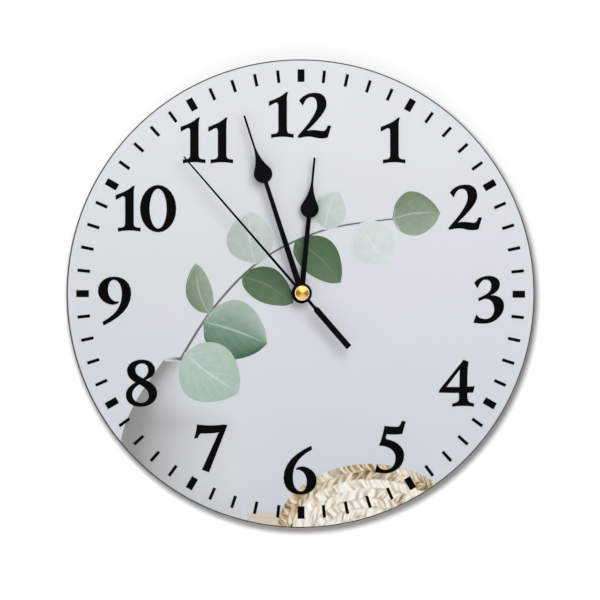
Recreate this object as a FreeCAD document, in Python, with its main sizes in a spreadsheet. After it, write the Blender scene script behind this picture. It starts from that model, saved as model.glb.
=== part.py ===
import FreeCAD, Part
import math
import os
import re
import Sketcher

# A round, frameless printed wall clock: a board with a printed face, three hands, and a one-cell
# quartz movement behind the board.
#
# Frame, in millimetres: the origin is on the wall, at the movement's back face, on the hand axis.
# +Z points to twelve o'clock, +X to three o'clock, and -Y out of the wall to the viewer.
# Nearly every piece is drawn face on: its own X and Y are the clock's X and Z, and its own Z is
# "depth", the distance out from the wall. Its Placement then turns it to stand on the wall.

# ---------------------------------------------------------------- driving dimensions

SIZES = [
    # board, print and clamping parts
    ("dial_radius", 125.0, "outside of the board"),
    ("board_hole", 3.8, "hole for the bushing, radius"),
    ("board_depth", 17.0, "back of the board"),
    ("board_thick", 5.0, "board thickness"),
    ("board_round", 0.5, "rounding of the board's edges"),
    ("print_margin", 0.5, "bare rim outside the print"),
    ("print_thick", 0.2, "printed film thickness"),
    ("seal_radius", 11.0, "rubber washer, outside"),
    ("washer_radius", 5.0, "brass washer, outside"),
    ("washer_thick", 0.5, "brass washer thickness"),
    ("nut_flat_half", 4.25, "hexagon nut, half across the flats"),
    ("nut_thick", 2.0, "hexagon nut thickness"),
    ("thread_radius", 3.5, "bushing thread, outside"),
    ("thread_deep", 0.3, "depth of a thread groove"),
    ("thread_pitch", 0.75, "spacing of the thread grooves"),
    ("bushing_flange", 6.0, "bushing flange radius"),
    ("bushing_tip", 25.3, "front end of the bushing"),
    ("bushing_chamfer", 0.3, "chamfer on the bushing's tip"),
    ("thread_half", 0.35, "half the mouth of a thread groove"),
    ("thread_start", 0.6, "first thread groove, out from the back of the board"),
    ("clamp_play", 0.1, "play of the clamping parts"),
    # movement case
    ("case_half", 28.0, "half the width of the square case"),
    ("case_depth", 16.0, "depth of the case"),
    ("case_wall", 1.3, "case wall"),
    ("case_round", 3.0, "rounding of the case corners"),
    ("front_wall", 1.2, "front wall of the case"),
    ("bay_top", -11.5, "upper side of the battery bay"),
    ("gear_floor", -10.3, "lower side of the gear space"),
    ("cover_gap", 0.1, "play round the rear cover"),
    ("cover_thick", 1.2, "rear cover thickness"),
    ("hook_width", 14.0, "hanger loop width"),
    ("hook_top", 39.0, "top of the hanger loop"),
    ("hook_thick", 2.0, "hanger loop thickness"),
    ("hook_hole", 3.0, "hanger hole radius"),
    ("hook_hole_up", 33.0, "height of the hanger hole"),
    ("hook_corner", 4.0, "cut corners of the hanger loop"),
    ("hook_root", 0.5, "depth of the hanger loop's root in the case"),
    ("notch_radius", 7.0, "finger notch in the wall below the battery"),
    # gear bridge
    ("bridge_low", 8.8, "back face of the gear bridge"),
    ("bridge_thick", 1.2, "gear bridge thickness"),
    ("bridge_half", 24.5, "half the width of the bridge"),
    ("bridge_top", 17.0, "upper edge of the bridge"),
    ("bridge_foot", -9.8, "lower edge of the bridge"),
    ("post_radius", 1.5, "posts that carry the bridge"),
    ("post_across", 22.5, "sideways place of the posts"),
    ("post_up", 14.5, "height of the upper posts"),
    ("post_down", -8.0, "height of the lower posts"),
    ("prop_up", 15.2, "height of the props behind the stator's legs"),
    ("prop_radius", 1.2, "props behind the stator's legs"),
    ("stake_radius", 0.7, "stakes on the post ends"),
    ("stake_proud", 0.3, "stake length behind the bridge"),
    ("peg_radius", 1.0, "pegs that carry the circuit board"),
    ("peg_inset", 2.0, "distance of the pegs from the circuit board's edges"),
    # shafts and running fits
    ("play", 0.05, "radial play of a running fit"),
    ("pivot_radius", 0.3, "pivots of the small wheels"),
    ("pivot_boss", 1.2, "bosses round the pivot holes, radius"),
    ("pivot_boss_long", 1.0, "length of a pivot boss"),
    ("boss_root", 0.2, "depth of a boss's root in the cover"),
    ("pivot_deep", 0.3, "depth of a pivot hole in the cover"),
    ("pivot_end", 0.4, "back end of a pivot, out from the cover's face"),
    ("arbor_end", 0.2, "back end of the second arbor, out from the cover's face"),
    ("boss_gap", 0.2, "play along a shaft between a wheel and its bearing"),
    ("motion_post", 0.7, "post that carries the motion wheel, radius"),
    ("setting_boss", 2.0, "boss round the setting shaft, radius"),
    ("arbor_radius", 0.5, "second arbor"),
    ("minute_tube", 1.6, "minute tube, outside radius"),
    ("hour_tube", 2.5, "hour tube, outside radius"),
    ("arbor_tip", 31.4, "front end of the second arbor"),
    ("minute_tip", 30.2, "front end of the minute tube"),
    ("hour_tip", 27.0, "front end of the hour tube"),
    # teeth: counts and modules
    ("tooth_head", 0.8, "tooth height outside the pitch circle, in modules"),
    ("tooth_foot", 1.3, "tooth depth inside the pitch circle, in modules"),
    ("tooth_pitch_part", 0.36, "tooth width on the pitch circle, in pitches"),
    ("tooth_tip_part", 0.18, "tooth width at its tip, in pitches"),
    ("rotor_teeth", 12, "rotor pinion"),
    ("rotor_module", 0.16, "rotor to intermediate wheel"),
    ("inter_teeth", 60, "intermediate wheel"),
    ("inter_pinion", 10, "intermediate pinion"),
    ("inter_module", 0.2, "intermediate pinion to second wheel"),
    ("second_teeth", 60, "second wheel"),
    ("second_pinion", 8, "second pinion"),
    ("third_module", 0.3, "second pinion to third wheel"),
    ("third_teeth", 60, "third wheel"),
    ("third_pinion", 8, "third pinion"),
    ("centre_teeth", 64, "centre wheel"),
    ("motion_module", 0.3, "cannon pinion, motion wheel, hour wheel and setting pinion"),
    ("cannon_teeth", 15, "cannon pinion"),
    ("motion_teeth", 45, "motion wheel"),
    ("motion_pinion", 12, "motion pinion"),
    ("hour_teeth", 48, "hour wheel"),
    ("setting_teeth", 12, "setting pinion"),
    ("tooth_width", 0.6, "thickness of a wheel's toothed disc"),
    ("tooth_root_cover", 0.9, "where a tooth starts, as a part of the root radius"),
    ("stack_gap", 0.2, "offset between stacked discs along a shaft"),
    ("hub_wall", 0.6, "wall of the second wheel's hub"),
    ("hub_long", 0.6, "second wheel's hub behind its teeth"),
    ("bridge_clear", 0.15, "space between the second pinion and the bridge"),
    ("third_hub", 0.9, "third wheel's hub radius"),
    ("third_hub_long", 1.0, "third wheel's hub behind its teeth"),
    ("inter_width", 0.5, "thickness of the intermediate wheel"),
    ("rotor_width", 0.9, "thickness of the rotor pinion"),
    ("rotor_neck", 0.6, "neck that carries the magnet, radius"),
    ("rotor_neck_long", 0.4, "neck in front of the magnet"),
    ("hour_width", 0.8, "thickness of the hour wheel"),
    ("motion_proud", 0.5, "motion pinion in front of the hour wheel"),
    ("cannon_gap", 0.3, "space between the cannon pinion and the hour wheel"),
    ("setting_width", 1.0, "thickness of the setting pinion"),
    ("wheel_windows", 5, "round windows in a large wheel"),
    ("wheel_window", 1.7, "window radius in the third and centre wheels"),
    ("wheel_window_out", 5.4, "their distance from the shaft"),
    ("second_window", 1.2, "window radius in the second wheel"),
    ("second_window_out", 3.6, "their distance from the shaft"),
    ("inter_windows", 4, "round windows in the intermediate wheel"),
    ("inter_window", 1.0, "window radius in the intermediate wheel"),
    ("inter_window_out", 2.9, "their distance from the shaft"),
    # directions from one shaft to the next, anticlockwise from three o'clock, in degrees
    ("inter_direction", 115.0, "hand axis to intermediate shaft"),
    ("rotor_direction", 140.0, "intermediate shaft to rotor"),
    ("third_direction", 20.0, "hand axis to third shaft"),
    ("motion_direction", 190.0, "hand axis to motion post"),
    ("setting_direction", 180.0, "motion post to setting shaft"),
    # depths of the wheels
    ("inter_depth", 2.9, "intermediate wheel"),
    ("second_depth", 4.6, "second wheel"),
    ("third_depth", 7.6, "third wheel"),
    ("centre_depth", 10.4, "centre wheel"),
    ("cannon_depth", 11.5, "cannon pinion and motion wheel"),
    ("hour_depth", 13.0, "hour wheel"),
    # motor
    ("magnet_radius", 2.25, "rotor magnet"),
    ("magnet_low", 5.2, "back of the rotor magnet"),
    ("magnet_thick", 2.4, "rotor magnet thickness"),
    ("stator_low", 6.0, "back of the stator plate"),
    ("stator_thick", 0.9, "stator plate and coil core thickness"),
    ("stator_ring", 4.0, "stator's eye, outside radius"),
    ("stator_gap", 0.35, "air gap round the magnet"),
    ("stator_half", 16.5, "half the width of the stator"),
    ("stator_leg", 3.2, "width of the stator's legs"),
    ("stator_bar_low", 9.8, "lower edge of the stator bar"),
    ("stator_bar_top", 13.2, "upper edge of the stator bar"),
    ("core_up", 21.5, "height of the coil's axis"),
    ("core_half", 1.5, "half the width of the coil core"),
    ("bobbin_half", 11.0, "half the length of the bobbin"),
    ("bobbin_flange", 3.1, "half the size of a bobbin flange"),
    ("bobbin_wall", 0.4, "wall of the bobbin's tube and flanges"),
    ("winding_radius", 2.8, "outside of the winding"),
    # circuit board
    ("pcb_low", 2.2, "back of the circuit board"),
    ("pcb_thick", 0.8, "circuit board thickness"),
    ("pcb_left", 4.0, "left edge"),
    ("pcb_right", 25.5, "right edge"),
    ("pcb_foot", 6.0, "lower edge"),
    ("pcb_top", 17.0, "upper edge"),
    ("chip_across", 10.0, "sideways place of the chip"),
    ("chip_up", 11.5, "height of the chip"),
    ("chip_radius", 2.6, "chip's resin drop"),
    ("crystal_radius", 1.0, "quartz crystal can"),
    ("crystal_length", 6.0, "quartz crystal can length"),
    ("crystal_across", 15.0, "left end of the crystal"),
    ("crystal_up", 14.5, "height of the crystal"),
    ("resin_height", 0.95, "height of the chip's resin drop"),
    # battery and its contacts
    ("cell_radius", 7.25, "battery"),
    ("cell_length", 50.5, "battery, over the button"),
    ("cell_tip", -26.2, "the battery button's end"),
    ("cell_up", -19.1, "height of the battery axis"),
    ("cell_depth", 7.4, "battery axis, out from the wall"),
    ("button_radius", 2.75, "battery button"),
    ("button_long", 1.5, "battery button length"),
    ("button_chamfer", 0.3, "chamfer on the battery button"),
    ("cell_shoulder", 0.9, "width of the sloped shoulder of the battery"),
    ("cell_shoulder_long", 0.7, "length of that shoulder"),
    ("cell_chamfer", 0.6, "chamfer on the battery's flat end"),
    ("strip_thick", 0.3, "contact strip thickness"),
    ("contact_low", 3.0, "back edge of the contacts"),
    ("contact_high", 12.0, "front edge of the contact plates"),
    ("tail_high", 5.5, "front edge of the contact tails"),
    ("contact_top", -13.0, "upper edge of the contact plates"),
    ("contact_foot", -25.0, "lower edge of the contact plates"),
    ("tail_up", -9.9, "upper side of the tail along the gear space"),
    ("tail_right", 20.0, "right end of the positive tail"),
    ("tail_foot", 2.0, "width of the soldered feet"),
    ("tail_lap", 2.0, "lap of the tails on the circuit board"),
    ("tongue_reach", 2.0, "reach of the negative contact's tongue"),
    ("tongue_half", 3.0, "half the width of the tongue"),
    ("tongue_thick", 0.35, "tongue thickness"),
    ("tongue_flat", 0.5, "half the flat top of the tongue"),
    ("slot_play", 0.2, "play of a contact in its slot"),
    # setting knob
    ("setting_radius", 1.0, "setting shaft"),
    ("knob_radius", 5.5, "setting knob"),
    ("knob_low", 0.3, "back of the knob"),
    ("knob_thick", 2.4, "knob thickness"),
    ("knob_ribs", 20, "grip ribs round the knob"),
    ("knob_body", 5.2, "knob radius between the ribs"),
    ("rib_radius", 0.45, "radius of a grip rib"),
    ("rib_start", 0.3, "plain edge behind the ribs"),
    ("knob_slot_half", 3.6, "half the length of the knob's slot"),
    ("knob_slot_width", 1.0, "width of the knob's slot"),
    ("knob_slot_deep", 0.7, "depth of the knob's slot"),
    ("knob_back", 0.8, "back wall behind the setting shaft"),
    ("setting_end", 1.0, "setting shaft in front of the hour wheel's back"),
    ("cup_play", 0.7, "space round the knob"),
    ("cup_wall", 1.0, "wall of the knob's cup"),
    ("cup_floor", 3.1, "inside floor of the knob's cup"),
    # hands
    ("hub_radius", 5.45, "hubs of the hour and minute hands"),
    ("hand_thick", 0.4, "sheet of the hands"),
    ("collar_radius", 3.4, "collars behind the hubs"),
    ("collar_long", 0.6, "collar length"),
    ("flank_radius", 24.0, "hollow flanks of the spades"),
    ("hour_angle", 5.5, "hour hand, clockwise from twelve"),
    ("hour_low", 26.2, "back of the hour hand"),
    ("hour_reach", 72.8, "hour hand length"),
    ("hour_root_half", 1.55, "half width at the hub"),
    ("hour_neck_half", 1.2, "half width at the spade"),
    ("hour_spade", 45.3, "distance of the spade's centre"),
    ("hour_spade_radius", 4.9, "spade radius"),
    ("hour_point_half", 0.6, "half width of the point"),
    ("minute_angle", -18.0, "minute hand, clockwise from twelve"),
    ("minute_low", 28.4, "back of the minute hand"),
    ("minute_reach", 99.5, "minute hand length"),
    ("minute_root_half", 1.7, "half width at the hub"),
    ("minute_neck_half", 1.1, "half width at the spade"),
    ("minute_spade", 66.8, "distance of the spade's centre"),
    ("minute_spade_radius", 4.95, "spade radius"),
    ("minute_point_half", 0.55, "half width of the point"),
    ("minute_nut_radius", 2.8, "minute hand nut"),
    ("second_angle", -41.0, "second hand, clockwise from twelve"),
    ("needle_low", 31.0, "back of the second hand"),
    ("needle_thick", 0.35, "sheet of the second hand"),
    ("needle_reach", 96.3, "second hand length"),
    ("needle_root_half", 0.75, "half width at the hub"),
    ("needle_tip_half", 0.42, "half width at the tip"),
    ("needle_hub", 2.6, "second hand hub radius"),
    ("tail_neck_half", 0.88, "half width of the tail's neck"),
    ("tail_neck_end", 10.2, "end of the tail's neck"),
    ("tail_bar_start", 11.8, "start of the tail's bar"),
    ("tail_bar_half", 1.65, "half width of the tail's bar"),
    ("tail_reach", 38.2, "tail length"),
    ("cap_radius", 3.95, "brass cap"),
    ("cap_rim", 0.35, "rim height of the brass cap"),
    ("cap_rise", 0.7, "rise of the cap's cone"),
    ("cap_lip", 0.4, "width of the cap's raised rim"),
    ("cap_step", 0.2, "width of the step inside the rim"),
    ("cap_step_deep", 0.15, "depth of that step"),
    ("cap_edge", 0.1, "chamfer behind the cap"),
    ("cap_dimple", 0.35, "flat at the cap's centre, radius"),
    ("socket_radius", 1.1, "socket behind the cap"),
    ("socket_low", 30.4, "back end of the socket"),
]

TINY = 1e-6

doc = FreeCAD.newDocument("WallClock")
sheet = doc.addObject("Spreadsheet::Sheet", "Sizes")
for row, (alias, value, meaning) in enumerate(SIZES, start=1):
    sheet.set(f"A{row}", meaning)
    sheet.set(f"B{row}", str(value))
    sheet.setAlias(f"B{row}", alias)
doc.recompute()


def bound(formula):
    """A formula of sheet aliases, written as the document's expressions want it."""
    return re.sub(r"\b(?!(?:cos|sin)\()[a-z]\w*", lambda word: "Sizes." + word.group(), formula)


def number(formula):
    """The present value of a formula of sheet aliases."""
    return float(sheet.evalExpression(bound(formula)))


def count(alias):
    return round(number(alias))


# ---------------------------------------------------------------- bodies, sketches and features

def new_body(label, across="0", up="0", turn=0.0):
    """A body drawn face on, with its own axis at (across, up); turn is anticlockwise, in degrees."""
    body = doc.addObject("PartDesign::Body", label)
    body.Label = label
    stand_up = FreeCAD.Rotation(FreeCAD.Vector(1, 0, 0), 90)
    spin = FreeCAD.Rotation(FreeCAD.Vector(0, 0, 1), turn)
    body.Placement = FreeCAD.Placement(FreeCAD.Vector(0, 0, 0), stand_up.multiply(spin))
    body.setExpression("Placement.Base.x", bound(across))
    body.setExpression("Placement.Base.z", bound(up))
    return body


def new_sketch(body, role="XY_Plane", depth="0", turn=0.0):
    """A sketch on one of the body's own planes, moved out by depth and turned in that plane."""
    sketch = body.newObject("Sketcher::SketchObject", "Sketch")
    plane = next(item for item in body.Origin.OriginFeatures if item.Role == role)
    sketch.AttachmentSupport = [(plane, "")]
    sketch.MapMode = "FlatFace"
    sketch.AttachmentOffset = FreeCAD.Placement(
        FreeCAD.Vector(0, 0, 0), FreeCAD.Rotation(FreeCAD.Vector(0, 0, 1), turn))
    sketch.setExpression("AttachmentOffset.Base.z", bound(depth))
    return sketch


def pin_point(sketch, shape, end, across, up):
    """Ties one point of a sketch to a place given by two formulas."""
    for kind, formula in (("DistanceX", across), ("DistanceY", up)):
        index = sketch.addConstraint(
            Sketcher.Constraint(kind, -1, 1, shape, end, number(formula)))
        sketch.setExpression(f"Constraints[{index}]", bound(formula))


def set_radius(sketch, shape, radius):
    index = sketch.addConstraint(Sketcher.Constraint("Radius", shape, number(radius)))
    sketch.setExpression(f"Constraints[{index}]", bound(radius))


def draw_circle(sketch, radius, across="0", up="0"):
    centre = FreeCAD.Vector(number(across), number(up), 0)
    shape = sketch.addGeometry(Part.Circle(centre, FreeCAD.Vector(0, 0, 1), number(radius)), False)
    pin_point(sketch, shape, 3, across, up)
    set_radius(sketch, shape, radius)


def draw_polygon(sketch, points):
    """A closed outline through points given as pairs of formulas."""
    places = [FreeCAD.Vector(number(across), number(up), 0) for across, up in points]
    lines = [sketch.addGeometry(Part.LineSegment(places[i - 1], places[i]), False)
             for i in range(len(places))]
    for i, line in enumerate(lines):
        sketch.addConstraint(Sketcher.Constraint("Coincident", lines[i - 1], 2, line, 1))
    for line, (across, up) in zip(lines, points):
        pin_point(sketch, line, 2, across, up)


def draw_box(sketch, left, foot, right, top):
    draw_polygon(sketch, [(left, foot), (right, foot), (right, top), (left, top)])


def add_pad(body, sketch, length):
    pad = body.newObject("PartDesign::Pad", "Pad")
    pad.Profile = (sketch, [""])
    pad.setExpression("Length", bound(length))
    body.Tip = pad
    return pad


def cut_pocket(body, sketch, length):
    """Cuts away from the wall, starting at the sketch, and makes sure that something is cut."""
    doc.recompute()
    before = body.Shape.Volume
    pocket = body.newObject("PartDesign::Pocket", "Pocket")
    pocket.Profile = (sketch, [""])
    pocket.Reversed = True
    pocket.setExpression("Length", bound(length))
    body.Tip = pocket
    doc.recompute()
    if body.Shape.Volume >= before - TINY:
        raise RuntimeError(f"{body.Label}: a pocket cuts nothing")
    return pocket


def add_disc(body, radius, low, high, across="0", up="0"):
    sketch = new_sketch(body, depth=low)
    draw_circle(sketch, radius, across, up)
    return add_pad(body, sketch, f"{high} - ({low})")


def add_box(body, left, foot, right, top, low, high):
    sketch = new_sketch(body, depth=low)
    draw_box(sketch, left, foot, right, top)
    return add_pad(body, sketch, f"{high} - ({low})")


def drill(body, radius, low, high, places=(("0", "0"),)):
    sketch = new_sketch(body, depth=low)
    for across, up in places:
        draw_circle(sketch, radius, across, up)
    return cut_pocket(body, sketch, f"{high} - ({low})")


def add_ring_about_axis(body, points):
    """A turned solid: the half section is given as (radius, depth) formulas."""
    sketch = new_sketch(body, role="XZ_Plane")
    draw_polygon(sketch, points)
    turned = body.newObject("PartDesign::Revolution", "Revolution")
    turned.Profile = (sketch, [""])
    turned.ReferenceAxis = (sketch, ["V_Axis"])
    turned.Angle = 360
    body.Tip = turned
    return turned


def repeat_round(body, feature, times):
    """Repeats one feature evenly round the body's axis."""
    pattern = body.newObject("PartDesign::PolarPattern", "PolarPattern")
    axis = next(item for item in body.Origin.OriginFeatures if item.Role == "Z_Axis")
    pattern.Originals = [feature]
    pattern.Axis = (axis, [""])
    pattern.Angle = 360
    pattern.setExpression("Occurrences", bound(times))
    body.Tip = pattern
    return pattern


def round_edges(body, feature, radius, is_chosen):
    """Fillets the edges of the newest feature that is_chosen accepts."""
    doc.recompute()
    names = [f"Edge{i}" for i, edge in enumerate(feature.Shape.Edges, start=1) if is_chosen(edge)]
    fillet = body.newObject("PartDesign::Fillet", "Fillet")
    fillet.Base = (feature, names)
    fillet.setExpression("Radius", bound(radius))
    body.Tip = fillet
    return fillet


def is_upright_edge(edge):
    """True for a straight edge that runs along the body's own Z."""
    box = edge.BoundBox
    return box.XLength < TINY and box.YLength < TINY and box.ZLength > TINY


# ---------------------------------------------------------------- places of the shafts

def from_axis(start, distance, direction):
    """A place that lies at a distance and a direction from another place, as two numbers."""
    angle = math.radians(number(direction))
    return (start[0] + number(distance) * math.cos(angle),
            start[1] + number(distance) * math.sin(angle))


def as_formulas(place):
    return (f"{place[0]:.6f}", f"{place[1]:.6f}")


HAND_AXIS = (0.0, 0.0)
THIRD_MESH = "third_module * (second_pinion + third_teeth) / 2"
CENTRE_MODULE = f"(2 * {THIRD_MESH} / (third_pinion + centre_teeth))"
INTER_SHAFT = from_axis(HAND_AXIS, "inter_module * (inter_pinion + second_teeth) / 2",
                        "inter_direction")
ROTOR_SHAFT = from_axis(INTER_SHAFT, "rotor_module * (rotor_teeth + inter_teeth) / 2",
                        "rotor_direction")
THIRD_SHAFT = from_axis(HAND_AXIS, THIRD_MESH, "third_direction")
MOTION_POST = from_axis(HAND_AXIS, "motion_module * (cannon_teeth + motion_teeth) / 2",
                        "motion_direction")
SETTING_SHAFT = from_axis(MOTION_POST, "motion_module * (setting_teeth + motion_teeth) / 2",
                          "setting_direction")


# ---------------------------------------------------------------- gears

def meshing_phase(driver_phase, direction, driver_teeth, teeth):
    """The direction of one tooth of a gear, so that it meshes with its driver.

    direction is the way from the driver's shaft to the gear's shaft; all are in degrees.
    """
    gap = direction + 180 - (driver_phase - direction) * driver_teeth / teeth
    return gap + 180 / teeth


def add_teeth(body, teeth, module, low, high, phase):
    """A toothed disc, with one tooth at the direction phase."""
    root = f"({module} * ({teeth} / 2 - tooth_foot))"
    tip = f"({module} * ({teeth} / 2 + tooth_head))"
    half_pitch = f"({module} * {math.pi / 2:.6f})"
    half_tip = f"({half_pitch} * tooth_tip_part)"
    half_root = f"({half_pitch} * (tooth_pitch_part * 1.5 - tooth_tip_part / 2))"
    start = f"({root} * tooth_root_cover)"
    add_disc(body, root, low, high)
    sketch = new_sketch(body, depth=low, turn=phase - 90)
    draw_polygon(sketch, [(f"-{half_root}", start), (half_root, start),
                          (half_tip, tip), (f"-{half_tip}", tip)])
    tooth = add_pad(body, sketch, f"{high} - ({low})")
    return repeat_round(body, tooth, teeth)


def lighten(body, low, high, hole_radius, distance, holes):
    """Round windows through a wheel's disc."""
    sketch = new_sketch(body, depth=low)
    draw_circle(sketch, hole_radius, distance, "0")
    window = cut_pocket(body, sketch, f"{high} - ({low})")
    return repeat_round(body, window, holes)


PIVOT_FRONT = "bridge_low + bridge_thick - boss_gap"
SECOND_PHASE = 90 - number("second_angle")
INTER_PINION_PHASE = meshing_phase(
    SECOND_PHASE, number("inter_direction"), count("second_teeth"), count("inter_pinion"))
INTER_PHASE = INTER_PINION_PHASE
ROTOR_PHASE = meshing_phase(
    INTER_PHASE, number("rotor_direction"), count("inter_teeth"), count("rotor_teeth"))
THIRD_PHASE = meshing_phase(
    SECOND_PHASE, number("third_direction"), count("second_pinion"), count("third_teeth"))
CENTRE_PHASE = meshing_phase(
    THIRD_PHASE, number("third_direction") + 180, count("third_pinion"), count("centre_teeth"))
CANNON_PHASE = 90 - number("minute_angle")
MOTION_PHASE = meshing_phase(
    CANNON_PHASE, number("motion_direction"), count("cannon_teeth"), count("motion_teeth"))
HOUR_PHASE = meshing_phase(
    MOTION_PHASE, number("motion_direction") + 180, count("motion_pinion"), count("hour_teeth"))
SETTING_PHASE = meshing_phase(
    MOTION_PHASE, number("setting_direction"), count("motion_teeth"), count("setting_teeth"))


def make_second_wheel():
    """Moulded wheel and pinion, pressed on the second arbor."""
    body = new_body("second_wheel")
    top = "second_depth + tooth_width"
    add_teeth(body, "second_teeth", "inter_module", "second_depth", top, SECOND_PHASE)
    back = "second_depth - hub_long"
    pinion_low = "third_depth - stack_gap"
    add_disc(body, "arbor_radius + hub_wall", back, pinion_low)
    add_teeth(body, "second_pinion", "third_module", pinion_low, "bridge_low - bridge_clear",
              SECOND_PHASE)
    lighten(body, "second_depth", top, "second_window", "second_window_out", "wheel_windows")
    drill(body, "arbor_radius", back, "bridge_low")


def make_second_arbor():
    body = new_body("second_arbor")
    add_ring_about_axis(body, [
        ("0", "cover_thick + arbor_end"), ("pivot_radius", "cover_thick + arbor_end"),
        ("pivot_radius", "inter_depth"), ("arbor_radius", "inter_depth"),
        ("arbor_radius", "arbor_tip"), ("0", "arbor_tip")])


def make_third_wheel():
    body = new_body("third_wheel", *as_formulas(THIRD_SHAFT))
    top = "third_depth + tooth_width"
    add_teeth(body, "third_teeth", "third_module", "third_depth", top, THIRD_PHASE)
    pinion_low = "centre_depth - stack_gap"
    add_disc(body, "third_hub", "third_depth - third_hub_long", pinion_low)
    add_teeth(body, "third_pinion", CENTRE_MODULE, pinion_low,
              "centre_depth + tooth_width + stack_gap", THIRD_PHASE)
    add_disc(body, "pivot_radius", "cover_thick + pivot_end", "hour_depth")
    lighten(body, "third_depth", top, "wheel_window", "wheel_window_out", "wheel_windows")


def make_centre_wheel():
    """Driven by the third pinion; it carries the cannon pinion round through a friction clutch."""
    body = new_body("centre_wheel")
    top = "centre_depth + tooth_width"
    add_teeth(body, "centre_teeth", CENTRE_MODULE, "centre_depth", top, CENTRE_PHASE)
    lighten(body, "centre_depth", top, "wheel_window", "wheel_window_out", "wheel_windows")
    drill(body, "minute_tube + play", "centre_depth", top)


def make_intermediate_wheel():
    body = new_body("intermediate_wheel", *as_formulas(INTER_SHAFT))
    top = "inter_depth + inter_width"
    add_teeth(body, "inter_teeth", "rotor_module", "inter_depth", top, INTER_PHASE)
    add_teeth(body, "inter_pinion", "inter_module", top,
              "second_depth + tooth_width + stack_gap", INTER_PINION_PHASE)
    add_disc(body, "pivot_radius", "cover_thick + pivot_end", PIVOT_FRONT)
    lighten(body, "inter_depth", top, "inter_window", "inter_window_out", "inter_windows")


def make_rotor():
    """The motor's permanent magnet, moulded on a pinion with two pivots."""
    pinion = new_body("rotor_pinion", *as_formulas(ROTOR_SHAFT))
    low = "inter_depth - stack_gap"
    high = f"{low} + rotor_width"
    add_teeth(pinion, "rotor_teeth", "rotor_module", low, high, ROTOR_PHASE)
    add_disc(pinion, "rotor_neck", high, "magnet_low + magnet_thick + rotor_neck_long")
    add_disc(pinion, "pivot_radius", "cover_thick + pivot_end", PIVOT_FRONT)
    magnet = new_body("rotor_magnet", *as_formulas(ROTOR_SHAFT))
    add_disc(magnet, "magnet_radius", "magnet_low", "magnet_low + magnet_thick")
    drill(magnet, "rotor_neck", "magnet_low", "magnet_low + magnet_thick")


def make_cannon_pinion():
    """Pinion and minute tube in one piece; the second arbor runs inside it."""
    body = new_body("cannon_pinion")
    back = "bridge_low + bridge_thick + clamp_play"
    add_teeth(body, "cannon_teeth", "motion_module", "cannon_depth", "hour_depth - cannon_gap",
              CANNON_PHASE)
    add_disc(body, "minute_tube", back, "minute_tip")
    drill(body, "arbor_radius + play", back, "minute_tip")


def make_motion_wheel():
    """Gears the cannon pinion down to the hour wheel; it turns on a post of the case."""
    body = new_body("motion_wheel", *as_formulas(MOTION_POST))
    top = "cannon_depth + tooth_width"
    add_teeth(body, "motion_teeth", "motion_module", "cannon_depth", top, MOTION_PHASE)
    front = "hour_depth + tooth_width + motion_proud"
    add_teeth(body, "motion_pinion", "motion_module", top, front, MOTION_PHASE)
    drill(body, "motion_post + play", "cannon_depth", front)


def make_hour_wheel():
    body = new_body("hour_wheel")
    top = "hour_depth + hour_width"
    add_teeth(body, "hour_teeth", "motion_module", "hour_depth", top, HOUR_PHASE)
    add_disc(body, "hour_tube", "hour_depth", "hour_tip")
    drill(body, "minute_tube + play", "hour_depth", "hour_tip")


def make_setting_parts():
    """Shaft with its pinion, and the knob that is turned by hand at the back."""
    place = as_formulas(SETTING_SHAFT)
    shaft = new_body("setting_shaft", *place)
    low = "cannon_depth - (setting_width - tooth_width) / 2"
    add_teeth(shaft, "setting_teeth", "motion_module", low, f"{low} + setting_width",
              SETTING_PHASE)
    add_disc(shaft, "setting_radius", "knob_low + knob_back", "hour_depth + setting_end")
    knob = new_body("setting_knob", *place)
    add_disc(knob, "knob_body", "knob_low", "knob_low + knob_thick")
    sketch = new_sketch(knob, depth="knob_low + rib_start")
    draw_circle(sketch, "rib_radius", "knob_radius - rib_radius", "0")
    rib = add_pad(knob, sketch, "knob_thick - rib_start")
    repeat_round(knob, rib, "knob_ribs")
    sketch = new_sketch(knob, depth="knob_low")
    draw_box(sketch, "-knob_slot_half", "-knob_slot_width / 2", "knob_slot_half",
             "knob_slot_width / 2")
    cut_pocket(knob, sketch, "knob_slot_deep")
    drill(knob, "setting_radius", "knob_low + knob_back", "knob_low + knob_thick")


# ---------------------------------------------------------------- board and clamping parts

def make_dial_board():
    body = new_body("dial_board")
    front = "board_depth + board_thick"
    add_ring_about_axis(body, [
        ("board_hole", "board_depth"), ("dial_radius - board_round", "board_depth"),
        ("dial_radius", "board_depth + board_round"), ("dial_radius", f"{front} - board_round"),
        ("dial_radius - board_round", front), ("board_hole", front)])


def make_dial_print():
    body = new_body("dial_print")
    front = "board_depth + board_thick"
    add_disc(body, "dial_radius - print_margin", front, f"{front} + print_thick")
    drill(body, "board_hole", front, f"{front} + print_thick")


def make_washers_and_nut():
    seal = new_body("rubber_washer")
    add_disc(seal, "seal_radius", "case_depth", "board_depth")
    drill(seal, "bushing_flange + 2 * clamp_play", "case_depth", "board_depth")
    face = "board_depth + board_thick + print_thick"
    washer = new_body("brass_washer")
    add_disc(washer, "washer_radius", face, f"{face} + washer_thick")
    drill(washer, "thread_radius + clamp_play", face, f"{face} + washer_thick")
    nut = new_body("hex_nut")
    low = f"{face} + washer_thick"
    sketch = new_sketch(nut, depth=low)
    corner = "(nut_flat_half / cos(30))"
    draw_polygon(sketch, [
        (corner, "0"), (f"{corner} / 2", "nut_flat_half"), (f"-{corner} / 2", "nut_flat_half"),
        (f"-{corner}", "0"), (f"-{corner} / 2", "-nut_flat_half"),
        (f"{corner} / 2", "-nut_flat_half")])
    add_pad(nut, sketch, "nut_thick")
    drill(nut, "thread_radius", low, f"{low} + nut_thick")


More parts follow.
